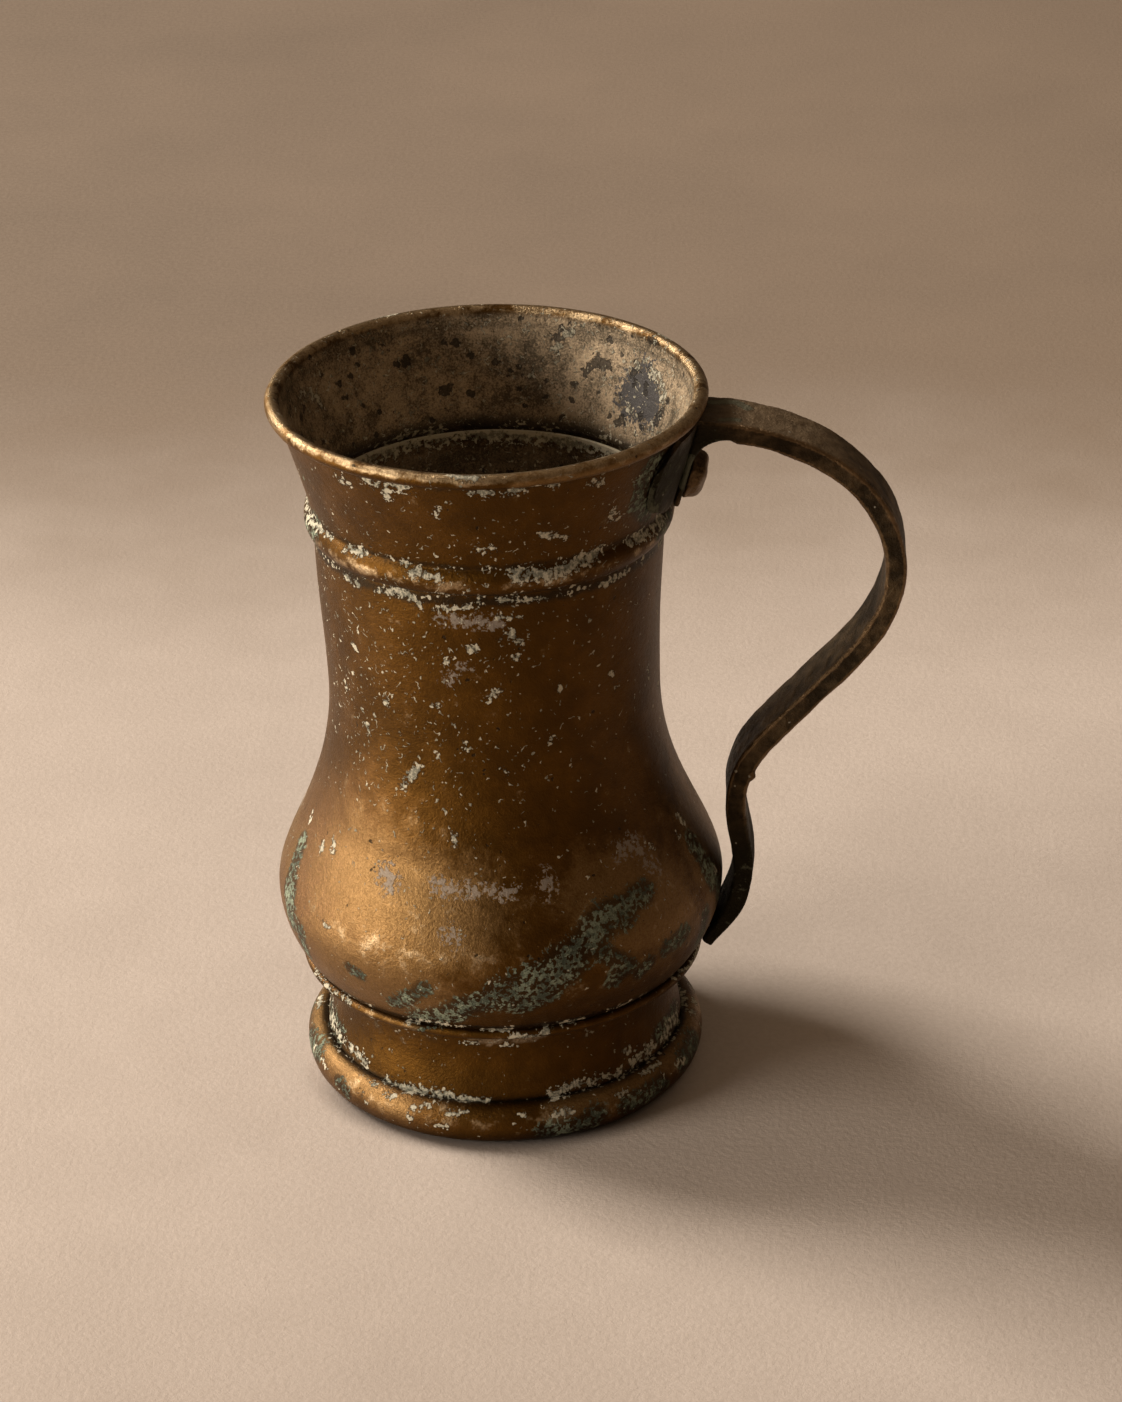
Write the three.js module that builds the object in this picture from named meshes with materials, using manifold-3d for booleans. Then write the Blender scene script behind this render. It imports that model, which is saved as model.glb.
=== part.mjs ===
// Copper cup: a raised and swaged sheet body on a rolled foot, with a riveted strap handle.
// Millimetres, +Z up, the cup standing on z = 0 and its handle towards +X.

import * as THREE from "three";
import { mergeVertices } from "three/addons/utils/BufferGeometryUtils.js";
import Module from "manifold-3d";

const wasm = await Module();
wasm.setup();

// Sheet, clearance and smoothness
const SHEET = 0.8;
const FIT_GAP = 0.3;
const ROUND_STEPS = 40;
const RIVET_STEPS = 16;
const CURVE_STEPS = 5;
const STRAP_STEP = 4.0;
const SAME_PLACE = 0.01;

// Heights, each above the one before it
const FOOT_HEIGHT = 27.3;
const BELLY_RISE = 14.7;
const WAIST_RISE = 44.0;
const BEAD_RISE = 39.3;
const COLLAR_RISE = 26.0;

// How far the seam flange stands out from the belly, and the bead and collar from the neck
const SEAM_LEDGE = 0.95;
const BEAD_STEP = 2.0;
const COLLAR_STEP = 1.0;

// Outside radii, from the table up
const FOOT_RADIUS = 41.75;
const FOOT_WALL_RADIUS = 37.3;
const FOOT_NECK_RADIUS = 35.6;
const BELLY_SEAM_RADIUS = 40.9;
const SEAM_RADIUS = BELLY_SEAM_RADIUS + SEAM_LEDGE;
const BELLY_RADIUS = 46.25;
const WAIST_RADIUS = 33.8;
const NECK_RADIUS = 35.2;
const BEAD_RADIUS = NECK_RADIUS + BEAD_STEP;
const COLLAR_NECK_RADIUS = NECK_RADIUS + COLLAR_STEP;
const RIM_RADIUS = 44.0;

// Foot: the roll that it stands on, the concave neck, and the hem of the seam flange
const FOOT_ROLL_HEIGHT = 8.35;
const FOOT_LAND_INSET = 2.9;
const FOOT_CREST_INSET = 3.4;
const FOOT_TURN = 0.6;
const FOOT_CURL_END = 102;
const FOOT_NECK_HEIGHT = 18.0;
const FOOT_NECK_FLARE = 2.0;
const HEM_WIDTH = 4.0;

// Belly and collar: the slopes of their walls, the rolled rim, and the bead that grips the neck
const LOWER_BELLY_SLOPE = 53;
const BODY_ABOVE_BEAD = 1.2;
const BEAD_ROUND = 3.6;
const BEAD_START = 44;
const BEAD_THROAT = 1.7;
const FLARE_SLOPE = 76;
const RIM_ROLL = 1.5;
const RIM_ROLL_END = -105;

// How far each curve keeps its end directions: at its top, then at its foot
const FLARE_HOLD = [2.6, 7.8];
const NECK_HOLD = [9.8, 13.8];
const SHOULDER_HOLD = [22.2, 9.2];
const LOWER_BELLY_HOLD = [6.2, 3.8];
const UPPER_FOOT_HOLD = [1.6, 3.5];
const LOWER_FOOT_HOLD = [4.5, 3.4];

// Strap handle: its section, its landmarks, and its toe beaten thin
const STRAP_WIDTH = 13.5;
const STRAP_THICKNESS = 4.2;
const STRAP_EDGE = 0.6;
const HANDLE_REACH = 83.4;
const ROOT_DROP = 7.0;
const ROOT_RADIUS = 40.0;
const REACH_DROP = 37.5;
const KINK_RISE = 18.0;
const KINK_CLEARANCE = 2.8;
const KNEE_RISE = 3.8;
const KNEE_CLEARANCE = 4.4;
const DIAGONAL_SHARE = 0.445;
const DIAGONAL_HEADING = -133;
const TOE_THICKNESS = 2.5;
const TOE_ABOVE_SEAM = 1.2;

// How far the strap keeps its direction before and after each landmark
const ROOT_HOLD = [0, 24.8];
const REACH_HOLD = [16.5, 12.8];
const DIAGONAL_HOLD = [11.1, 13.1];
const KINK_HOLD = [10.2, 5.2];
const KNEE_HOLD = [4.2, 8.6];
const TOE_HOLD = [5.7, 0];

// Palm and tongue, the spread and turned-down upper end of the strap
const PALM_THICKNESS = 1.1;
const PALM_HALF_WIDTH = 21.5;
const PALM_TIP_HALF_WIDTH = 9.0;
const PALM_TOP_DROP = 3.8;
const PALM_BOTTOM_DROP = 22.0;
const PALM_SIDE_RISE = 9.5;
const PALM_CORNER = 6.0;
const TONGUE_THICKNESS = 1.9;
const TONGUE_BELOW_RIVET = 5.2;
const TONGUE_FILLET = 6.0;

// Rivets, and the roves that their tails are clenched over
const SHANK_RADIUS = 1.9;
const RIVET_ON_FLARE = 0.82;
const RIVET_ON_BELLY = 0.66;
const UPPER_RIVET = { headRadius: 5.2, headHeight: 3.7, seat: FIT_GAP + TONGUE_THICKNESS };
const LOWER_RIVET = { headRadius: 3.5, headHeight: 1.3, seat: 2.9 };
const HEAD_EDGE = 0.5;
const TAIL_RADIUS = 2.8;
const TAIL_HEIGHT = 1.2;
const UPPER_ROVE_RADIUS = 3.9;
const LOWER_ROVE_RADIUS = 3.2;
const ROVE_THICKNESS = 0.9;

const bellyHeight = FOOT_HEIGHT + BELLY_RISE;
const waistHeight = bellyHeight + WAIST_RISE;
const beadHeight = waistHeight + BEAD_RISE;
const rimHeight = beadHeight + COLLAR_RISE;
const UP = 90;
const DOWN = -90;
const TURN_ROUND = 180;

const radians = THREE.MathUtils.degToRad;
const degrees = THREE.MathUtils.radToDeg;
const point = (x, y) => new THREE.Vector2(x, y);
const heading = (angle) => point(Math.cos(radians(angle)), Math.sin(radians(angle)));
const moved = (from, direction, length) => from.clone().addScaledVector(direction, length);
const leftOf = (direction) => point(-direction.y, direction.x);

// A curve between two places, with its heading at each and how far it keeps it there.
const bend = (from, fromHeading, to, toHeading, [fromHold, toHold]) =>
  new THREE.CubicBezierCurve(
    from,
    moved(from, heading(fromHeading), fromHold),
    moved(to, heading(toHeading), -toHold),
    to,
  );

// An arc about a centre, clockwise where its angle falls.
const arc = (centre, radiusX, radiusY, from, to) =>
  new THREE.EllipseCurve(
    centre.x, centre.y, radiusX, radiusY, radians(from), radians(to), to < from,
  );

// Points along curves that follow on from each other, without the doubled joins.
function trace(curves, steps = CURVE_STEPS) {
  const points = curves.flatMap((curve) => curve.getPoints(steps));
  return points.filter((p, i) => i === 0 || p.distanceTo(points[i - 1]) > SAME_PLACE);
}

// A line moved to its left, by a distance that may change from its start (0) to its end (1).
function offsetLine(line, distanceAt) {
  const last = line.length - 1;
  const leftAfter = (i) => leftOf(line[i + 1].clone().sub(line[i]).normalize());
  return line.map((p, i) => {
    const before = leftAfter(Math.max(i, 1) - 1);
    const after = leftAfter(Math.min(i, last - 1));
    const mitre = before.clone().add(after).divideScalar(1 + before.dot(after));
    return moved(p, mitre, distanceAt(i / last));
  });
}

// The closed outline between two lines, each at its distance to the left of one line.
const band = (line, near, far) => [
  ...offsetLine(line, () => near),
  ...offsetLine(line, () => far).reverse(),
];

const sheetAlong = (middle) => band(middle, -SHEET / 2, SHEET / 2);

// The outline between a line and the Z axis.
const filled = (line) => [point(0, line[0].y), ...line, point(0, line[line.length - 1].y)];

// A profile of radius and height, which closes on itself or on the axis, turned about Z.
function revolve(profile, steps = ROUND_STEPS) {
  const turned = THREE.ShapeUtils.area(profile) < 0 ? [...profile].reverse() : profile;
  const closing = turned[0].x === 0 ? [] : [turned[0]];
  return new THREE.LatheGeometry([...turned, ...closing], steps).rotateX(Math.PI / 2);
}

function solidOf(geometry) {
  const bare = geometry.clone();
  bare.deleteAttribute("normal");
  bare.deleteAttribute("uv");
  const merged = mergeVertices(bare);
  return new wasm.Manifold(
    new wasm.Mesh({
      numProp: 3,
      vertProperties: merged.attributes.position.array,
      triVerts: new Uint32Array(merged.index.array),
    }),
  );
}

function geometryOf(solid) {
  const mesh = solid.getMesh();
  const geometry = new THREE.BufferGeometry();
  geometry.setAttribute("position", new THREE.BufferAttribute(mesh.vertProperties, 3));
  geometry.setIndex(new THREE.BufferAttribute(mesh.triVerts, 1));
  geometry.computeVertexNormals();
  return geometry;
}

const cutFrom = (solid, cutters) => cutters.reduce((left, cutter) => left.subtract(cutter), solid);

// Middle line of the collar's flared wall, from the rim down to the bead.
const rollCentre = point(RIM_RADIUS - RIM_ROLL, rimHeight - RIM_ROLL);
const rollMiddle = RIM_ROLL - SHEET / 2;
const beadCentre = point(BEAD_RADIUS - BEAD_ROUND, beadHeight);
const beadMiddle = BEAD_ROUND - SHEET / 2;
const beadTop = moved(beadCentre, heading(BEAD_START), beadMiddle);
const flareFoot = point(COLLAR_NECK_RADIUS - SHEET / 2, beadTop.y + BEAD_THROAT);
const flare = bend(
  point(rollCentre.x - rollMiddle, rollCentre.y), DOWN,
  flareFoot, FLARE_SLOPE - TURN_ROUND, FLARE_HOLD,
);

function flareAndBead() {
  const throatCorner = point(flareFoot.x - SHEET / 2, beadTop.y + SHEET / 2);
  const throat = new THREE.QuadraticBezierCurve(flareFoot, throatCorner, beadTop);
  const gripCosine = (NECK_RADIUS + FIT_GAP - beadCentre.x) / (BEAD_ROUND - SHEET);
  const grip = -degrees(Math.acos(gripCosine));
  const bead = arc(beadCentre, beadMiddle, beadMiddle, BEAD_START, grip);
  return [...trace([flare]), ...trace([throat], 2).slice(1), ...trace([bead]).slice(1)];
}

// Mouth collar: rim rolled outwards over its wire, flared wall, bead round the neck of the body.
function mouthCollar(rivetHole) {
  const roll = arc(rollCentre, rollMiddle, rollMiddle, RIM_ROLL_END, TURN_ROUND);
  const middle = [...trace([roll], 2 * CURVE_STEPS - 1), ...flareAndBead().slice(1)];
  return geometryOf(solidOf(revolve(sheetAlong(middle))).subtract(rivetHole));
}

function rimWire() {
  const wireRadius = RIM_ROLL - SHEET - FIT_GAP;
  const ring = new THREE.TorusGeometry(rollCentre.x, wireRadius, CURVE_STEPS, ROUND_STEPS);
  return ring.translate(0, 0, rollCentre.y);
}

// Outer face of the body, from its top edge inside the bead to its lower edge on the seam flange.
const bodyFoot = point(BELLY_SEAM_RADIUS, FOOT_HEIGHT + FIT_GAP);
const bellySide = point(BELLY_RADIUS, bellyHeight);
const lowerBelly = bend(
  bellySide, DOWN, bodyFoot, LOWER_BELLY_SLOPE - TURN_ROUND, LOWER_BELLY_HOLD,
);

function bodyFace() {
  const neckSide = point(NECK_RADIUS, beadHeight - BEAD_ROUND);
  const waistSide = point(WAIST_RADIUS, waistHeight);
  const neck = bend(neckSide, DOWN, waistSide, DOWN, NECK_HOLD);
  const shoulder = bend(waistSide, DOWN, bellySide, DOWN, SHOULDER_HOLD);
  return [
    point(NECK_RADIUS, beadHeight + BODY_ABOVE_BEAD),
    ...trace([neck], 4),
    ...trace([shoulder], 9).slice(1),
    ...trace([lowerBelly]).slice(1),
  ];
}

const bodyShell = (rivetHole) =>
  geometryOf(solidOf(revolve(band(bodyFace(), -SHEET, 0))).subtract(rivetHole));

// Floor disc: it lies on the seam flange, inside the lower edge of the body.
function floorDisc() {
  const radius = BELLY_SEAM_RADIUS - SHEET - FIT_GAP;
  return revolve(filled([point(radius, bodyFoot.y), point(radius, bodyFoot.y + SHEET)]));
}

// Foot ring: hemmed flange, concave neck, and a wall curled outwards into a hollow roll.
function footRing() {
  const hemRound = (SHEET + FIT_GAP) / 2;
  const hem = point(SEAM_RADIUS - SHEET / 2 - hemRound, FOOT_HEIGHT - SHEET / 2 - hemRound);
  const neck = point(FOOT_NECK_RADIUS - SHEET / 2, FOOT_NECK_HEIGHT);
  const flange = point(neck.x + FOOT_NECK_FLARE, hem.y - hemRound);
  const wall = point(FOOT_WALL_RADIUS - SHEET / 2, FOOT_ROLL_HEIGHT - SHEET);
  const side = FOOT_RADIUS - SHEET / 2;
  const equator = FOOT_ROLL_HEIGHT / 2;
  const rollHalf = equator - SHEET / 2;
  const land = point(FOOT_RADIUS - FOOT_LAND_INSET, equator);
  const crest = point(FOOT_RADIUS - FOOT_CREST_INSET, equator);
  const turn = point(wall.x + FOOT_TURN, SHEET / 2 + FOOT_TURN);
  const middle = [
    point(hem.x - HEM_WIDTH, hem.y + hemRound),
    ...trace([arc(hem, hemRound, hemRound, UP, DOWN)], 3),
    ...trace([bend(flange, TURN_ROUND, neck, DOWN, UPPER_FOOT_HOLD)], 4),
    ...trace([bend(neck, DOWN, wall, DOWN, LOWER_FOOT_HOLD)], 3).slice(1),
    ...trace([arc(turn, FOOT_TURN, FOOT_TURN, -TURN_ROUND, DOWN)], 2),
    ...trace([arc(land, side - land.x, rollHalf, DOWN, 0)]),
    ...trace([arc(crest, side - crest.x, rollHalf, 0, FOOT_CURL_END)]).slice(1),
  ];
  return revolve(sheetAlong(middle));
}

// A rivet's place on a wall: a point of its outer face, the way out of it, and the way up along it.
function seatOn(curve, share, toOuterFace) {
  const down = curve.getTangent(share);
  const out = leftOf(down);
  return { at: moved(curve.getPoint(share), out, toOuterFace), out, up: down.negate() };
}

const upperSeat = seatOn(flare, RIVET_ON_FLARE, SHEET / 2);
const lowerSeat = seatOn(lowerBelly, RIVET_ON_BELLY, 0);

// Stands a piece that is made along Z out of the wall at a seat.
const standOn = (seat, geometry) =>
  geometry.rotateY(Math.PI / 2 - seat.out.angle()).translate(seat.at.x, 0, seat.at.y);

function drum(seat, radius, low, high) {
  const profile = filled([point(radius, low), point(radius, high)]);
  return solidOf(standOn(seat, revolve(profile, RIVET_STEPS)));
}

const rivetHole = (seat) => drum(seat, SHANK_RADIUS + FIT_GAP, -STRAP_WIDTH, STRAP_WIDTH);

const roveFace = -SHEET - FIT_GAP;
const tailFace = roveFace - ROVE_THICKNESS - FIT_GAP;

function dome(radius, base, height) {
  const round = trace([arc(point(0, base), radius, height, 0, UP)]);
  return [...round.slice(0, -1), point(0, base + height)];
}

// A rivet: domed head outside the strap, shank through the wall, clenched tail inside.
function rivet(size, seat) {
  const headFace = size.seat + FIT_GAP;
  const profile = [
    ...dome(TAIL_RADIUS, tailFace, -TAIL_HEIGHT).reverse(),
    point(SHANK_RADIUS, tailFace),
    point(SHANK_RADIUS, headFace),
    point(size.headRadius, headFace),
    ...dome(size.headRadius, headFace + HEAD_EDGE, size.headHeight - HEAD_EDGE),
  ];
  return standOn(seat, revolve(profile, RIVET_STEPS));
}

// A washer under the tail, dished to the inside of the wall that it lies on.
function rove(radius, seat, wallWithGap) {
  const disc = drum(seat, radius, roveFace - ROVE_THICKNESS, -SHEET / 2);
  return geometryOf(cutFrom(disc, [solidOf(revolve(wallWithGap)), rivetHole(seat)]));
}

// The strap's side outline: over the crown from the collar, down the diagonal, and on to the toe.
const rootMiddle = point(ROOT_RADIUS, rimHeight - ROOT_DROP);

function strapOutline() {
  const reach = point(HANDLE_REACH - STRAP_THICKNESS / 2, rimHeight - REACH_DROP);
  const kink = point(BELLY_RADIUS + KINK_CLEARANCE, bellyHeight + KINK_RISE);
  const knee = point(BELLY_RADIUS + KNEE_CLEARANCE, bellyHeight + KNEE_RISE);
  const diagonal = kink.clone().lerp(reach, DIAGONAL_SHARE);
  const toeHeading = LOWER_BELLY_SLOPE - TURN_ROUND;
  const toeFace = moved(bodyFoot, heading(toeHeading), -TOE_ABOVE_SEAM);
  const toe = moved(toeFace, leftOf(heading(toeHeading)), FIT_GAP + TOE_THICKNESS / 2);
  const landmarks = [
    [rootMiddle, 0, ROOT_HOLD],
    [reach, DOWN, REACH_HOLD],
    [diagonal, DIAGONAL_HEADING, DIAGONAL_HOLD],
    [kink, DOWN, KINK_HOLD],
    [knee, DOWN, KNEE_HOLD],
    [toe, toeHeading, TOE_HOLD],
  ];
  const curves = landmarks.slice(1).map(([to, toHeading, [toHold]], i) => {
    const [from, fromHeading, [, fromHold]] = landmarks[i];
    return bend(from, fromHeading, to, toHeading, [fromHold, toHold]);
  });
  const stepsOf = (curve) => Math.ceil(curve.getLength() / STRAP_STEP);
  const paths = curves.map((curve) => trace([curve], stepsOf(curve)).slice(1));
  const middle = [point(COLLAR_NECK_RADIUS, rootMiddle.y), rootMiddle, ...paths.flat()];
  const kneeShare = 1 - paths.at(-1).length / (middle.length - 1);
  const half = (share) => {
    const beaten = THREE.MathUtils.smoothstep(share, kneeShare, 1);
    return THREE.MathUtils.lerp(STRAP_THICKNESS, TOE_THICKNESS, beaten) / 2;
  };
  return [...offsetLine(middle, half), ...offsetLine(middle, (share) => -half(share)).reverse()];
}

// The tongue's side outline: from the strap's root, down the collar to just below the rivet.
function tongueOutline() {
  const face = moved(upperSeat.at, upperSeat.out, UPPER_RIVET.seat);
  const tip = moved(face, upperSeat.up, -TONGUE_BELOW_RIVET);
  const underside = rootMiddle.y - STRAP_THICKNESS / 2;
  const corner = moved(face, upperSeat.up, (underside - face.y) / upperSeat.up.y);
  const filletEnd = point(corner.x + TONGUE_FILLET, underside);
  const fillet = new THREE.QuadraticBezierCurve(
    moved(corner, upperSeat.up, -TONGUE_FILLET), corner, filletEnd,
  );
  const insideWall = COLLAR_NECK_RADIUS - SHEET;
  return [
    point(insideWall, tip.y),
    tip,
    ...trace([fillet]),
    point(filletEnd.x, rootMiddle.y),
    point(insideWall, rootMiddle.y),
  ];
}

// A side outline across the width of the strap, with its edges rounded off.
function acrossStrap(outline) {
  const bar = new THREE.ExtrudeGeometry(new THREE.Shape(outline), {
    depth: STRAP_WIDTH - 2 * STRAP_EDGE,
    bevelThickness: STRAP_EDGE,
    bevelSize: STRAP_EDGE,
    bevelOffset: -STRAP_EDGE,
    bevelSegments: 2,
  });
  return solidOf(bar.translate(0, 0, STRAP_EDGE - STRAP_WIDTH / 2).rotateX(Math.PI / 2));
}

// The palm: a shield of thin metal curved round the collar.
function palm(collarClearance) {
  const top = rimHeight - PALM_TOP_DROP;
  const bottom = rimHeight - PALM_BOTTOM_DROP;
  const tip = point(PALM_TIP_HALF_WIDTH, bottom);
  const side = point(PALM_HALF_WIDTH, bottom + PALM_SIDE_RISE);
  const shoulder = point(PALM_HALF_WIDTH - PALM_CORNER, top);
  const half = trace([
    bend(tip, 0, side, UP, [PALM_CORNER, PALM_CORNER]),
    new THREE.QuadraticBezierCurve(side, point(side.x, top), shoulder),
  ]);
  const mirrored = half.map((p) => point(-p.x, p.y)).reverse();
  const shield = new THREE.ExtrudeGeometry(new THREE.Shape([...half, ...mirrored]), {
    depth: RIM_RADIUS * 2,
    bevelEnabled: false,
  });
  const outOfCup = new THREE.Matrix4().makeBasis(
    new THREE.Vector3(0, 1, 0), new THREE.Vector3(0, 0, 1), new THREE.Vector3(1, 0, 0),
  );
  const plate = revolve(band(trace([flare]), 0, collarClearance + PALM_THICKNESS));
  return solidOf(shield.applyMatrix4(outOfCup)).intersect(solidOf(plate));
}

// Strap handle: strap, tongue and palm in one forging, hollowed to lie on the collar and the belly.
function strapHandle(holes) {
  const collarClearance = SHEET / 2 + FIT_GAP;
  const seamClearance = SEAM_RADIUS + FIT_GAP;
  const spotFace = (size, seat) =>
    drum(seat, size.headRadius + FIT_GAP, size.seat, size.seat + STRAP_WIDTH);
  const forging = acrossStrap(strapOutline())
    .add(acrossStrap(tongueOutline()))
    .add(palm(collarClearance));
  return geometryOf(
    cutFrom(forging, [
      solidOf(revolve(filled(offsetLine(flareAndBead(), () => collarClearance)))),
      solidOf(revolve(filled(offsetLine(bodyFace(), () => FIT_GAP)))),
      solidOf(revolve(filled([point(seamClearance, 0), point(seamClearance, bodyFoot.y)]))),
      spotFace(UPPER_RIVET, upperSeat),
      spotFace(LOWER_RIVET, lowerSeat),
      ...holes,
    ]),
  );
}

const agedCopper = { color: 0x7a4a26, roughness: 0.45, metalness: 0.9 };
const darkCopper = { color: 0x3a2c20, roughness: 0.55, metalness: 0.8 };
const tinnedCopper = { color: 0x5b5142, roughness: 0.6, metalness: 0.7 };

function piece(name, geometry, finish) {
  const mesh = new THREE.Mesh(geometry, new THREE.MeshStandardMaterial(finish));
  mesh.name = name;
  return mesh;
}

const upperHole = rivetHole(upperSeat);
const lowerHole = rivetHole(lowerSeat);
const collarWall = band(trace([flare]), -SHEET / 2 - FIT_GAP, SHEET / 2 + FIT_GAP);
const bodyWall = band(bodyFace(), -SHEET - FIT_GAP, FIT_GAP);
const upperRove = rove(UPPER_ROVE_RADIUS, upperSeat, collarWall);
const lowerRove = rove(LOWER_ROVE_RADIUS, lowerSeat, bodyWall);

const cup = new THREE.Group();
cup.add(
  piece("mouth_collar", mouthCollar(upperHole), agedCopper),
  piece("rim_wire", rimWire(), darkCopper),
  piece("body_shell", bodyShell(lowerHole), agedCopper),
  piece("floor_disc", floorDisc(), tinnedCopper),
  piece("foot_ring", footRing(), agedCopper),
  piece("strap_handle", strapHandle([upperHole, lowerHole]), darkCopper),
  piece("upper_rivet", rivet(UPPER_RIVET, upperSeat), darkCopper),
  piece("upper_rivet_rove", upperRove, darkCopper),
  piece("lower_rivet", rivet(LOWER_RIVET, lowerSeat), darkCopper),
  piece("lower_rivet_rove", lowerRove, darkCopper),
);

// The origin lies under the middle of the whole cup, handle included.
const bounds = new THREE.Box3().setFromObject(cup, true);
const centre = bounds.getCenter(new THREE.Vector3());
cup.position.set(-centre.x, -centre.y, -bounds.min.z);

const part = new THREE.Group();
part.add(cup);

export default part;
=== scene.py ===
"""Aged copper cup: a raised and swaged body on a rolled foot, with a riveted strap handle."""
import math

import bmesh
import bpy
import numpy as np
from mathutils import Matrix, Vector, noise
from mathutils.bvhtree import BVHTree
from mathutils.geometry import interpolate_bezier


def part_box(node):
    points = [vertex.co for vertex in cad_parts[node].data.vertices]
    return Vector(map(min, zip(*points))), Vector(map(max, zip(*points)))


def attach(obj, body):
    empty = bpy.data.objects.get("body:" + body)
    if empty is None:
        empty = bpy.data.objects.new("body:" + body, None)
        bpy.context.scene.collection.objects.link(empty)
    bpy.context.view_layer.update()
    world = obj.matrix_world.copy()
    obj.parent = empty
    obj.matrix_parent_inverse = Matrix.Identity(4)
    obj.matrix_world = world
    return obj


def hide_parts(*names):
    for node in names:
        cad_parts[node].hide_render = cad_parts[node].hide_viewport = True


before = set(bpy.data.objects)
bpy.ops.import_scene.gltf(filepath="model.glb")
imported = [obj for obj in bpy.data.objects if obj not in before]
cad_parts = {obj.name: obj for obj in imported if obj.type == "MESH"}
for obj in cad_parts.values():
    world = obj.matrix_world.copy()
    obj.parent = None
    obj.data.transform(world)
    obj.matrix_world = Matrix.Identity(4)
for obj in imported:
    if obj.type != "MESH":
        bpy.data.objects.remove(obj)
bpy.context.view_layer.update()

# Millimetres until a piece is finished
MM = 0.001
floor_low, floor_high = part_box("floor_disc")
CUP_AXIS = Vector(((floor_low.x + floor_high.x) / 2, 0, 0))

# The cup's own sizes
SHEET = 0.8
FOOT_TOP = 27.3
BELLY_HEIGHT = 42.0
WAIST_HEIGHT = 86.0
BEAD_HEIGHT = 125.3
RIM_HEIGHT = 151.3
FOOT_RADIUS = 41.75
FOOT_WALL_RADIUS = 37.3
FOOT_NECK_RADIUS = 35.6
SEAM_RADIUS = 41.85
BELLY_SEAM_RADIUS = 40.9
BELLY_RADIUS = 46.25
WAIST_RADIUS = 33.8
NECK_RADIUS = 35.2
BEAD_RADIUS = 37.2
COLLAR_NECK_RADIUS = 36.2
RIM_RADIUS = 44.0
STRAP_WIDTH = 13.5
STRAP_THICKNESS = 4.2
TOE_THICKNESS = 2.5
ROLL_RADIUS = 1.1
BEAD_ROUND = 3.2
HEM_RADIUS = 0.55
FIT = 0.3

# Tongue and palm: distances out from the collar, and down from the rivet or the rim
TONGUE_BACK = 1.0
TONGUE_FACE = 2.2
TONGUE_TIP = 5.2
TONGUE_FILLET = 6.0
PALM_FACE = 1.4
PALM_TOP = 3.8
PALM_SHOULDER = 12.5
PALM_BOTTOM = 22.0
PALM_FOOT_HALF = 9.0
PALM_SHOULDER_HALF = 21.5
PALM_TAPER = 6.0

# Rivets and roves: heights from the wall's outside
SHANK_RADIUS = 1.9
TAIL_RADIUS = 2.8
TAIL_HEIGHT = 1.2
TAIL_FACE = -2.3
UPPER_SEAT = 2.2
LOWER_SEAT = 2.9
ROVE_LOW = -2.0
ROVE_HIGH = -1.05
ROVE_BORE = 2.2

# How finely the pieces are made
ROUND_STEPS = 360
SMALL_ROUND_STEPS = 72
SHEET_STEP = 0.75
STRAP_STEP = 0.8
STRAP_EDGE = 0.55
STRAP_VOXEL = 0.42
CORNER_PULL = 0.67

# Camera, fitted to the circles of the cup
PHOTO_SIZE = (1122, 1402)
FOCAL_PIXELS = 4500.0
CAMERA_DISTANCE = 819.9
CAMERA_HEIGHT = 502.4
CAMERA_TURN = 4.0
CAMERA_HEADING = 3.065
CAMERA_PITCH = 27.209
CAMERA_ROLL = -1.331


def heading(angle):
    return Vector((math.cos(math.radians(angle)), math.sin(math.radians(angle))))


def ease(value, low, high):
    """0 below low and 1 above high, smooth between."""
    share = min(max((value - low) / (high - low), 0.0), 1.0)
    return share * share * (3 - 2 * share)


def bend(start, start_heading, end, end_heading, holds, step=SHEET_STEP):
    """A curve that keeps its heading for a while at each end."""
    first = start + heading(start_heading) * holds[0]
    last = end - heading(end_heading) * holds[1]
    count = max(3, round((end - start).length / step) + 1)
    return [Vector(p[:2]) for p in interpolate_bezier(start, first, last, end, count)]


def rounded(start, corner, end, count):
    """A rounded corner between two places."""
    first = start.lerp(corner, CORNER_PULL)
    last = end.lerp(corner, CORNER_PULL)
    return [Vector(p[:2]) for p in interpolate_bezier(start, first, last, end, count)]


def arc(centre, radii, start, end, count):
    angles = [start + (end - start) * i / count for i in range(count + 1)]
    return [centre + Vector((heading(a).x * radii[0], heading(a).y * radii[1])) for a in angles]


def joined(*runs):
    """One line from runs that follow on from each other."""
    line = []
    for run in runs:
        line += [p for p in run if not line or (p - line[-1]).length > 0.01]
    return line


def beside(line, distance):
    """A line moved to its left."""
    moved = []
    for i, p in enumerate(line):
        before = (line[max(i, 1)] - line[max(i, 1) - 1]).normalized()
        after = (line[min(i + 1, len(line) - 1)] - line[min(i, len(line) - 2)]).normalized()
        left = Vector((-before.y - after.y, before.x + after.x))
        moved.append(p + left / (1 + before.dot(after)) * distance)
    return moved


def band(line, near, far, far_every=1):
    """The closed outline between two lines, the far one with fewer points if so wanted."""
    back = beside(line, far)
    return beside(line, near) + back[-1:] + back[:-1][::far_every][::-1]


# Profiles of radius and height
roll_outside = ROLL_RADIUS + SHEET / 2
roll_centre = Vector((RIM_RADIUS - roll_outside, RIM_HEIGHT - roll_outside))
bead_centre = Vector((BEAD_RADIUS - BEAD_ROUND - SHEET / 2, BEAD_HEIGHT))
bead_top = bead_centre + heading(44) * BEAD_ROUND
flare_foot = Vector((COLLAR_NECK_RADIUS - SHEET / 2, bead_top.y + 1.7))
flare = bend(roll_centre - Vector((ROLL_RADIUS, 0)), -90, flare_foot, -104, (2.6, 7.8))


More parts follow.
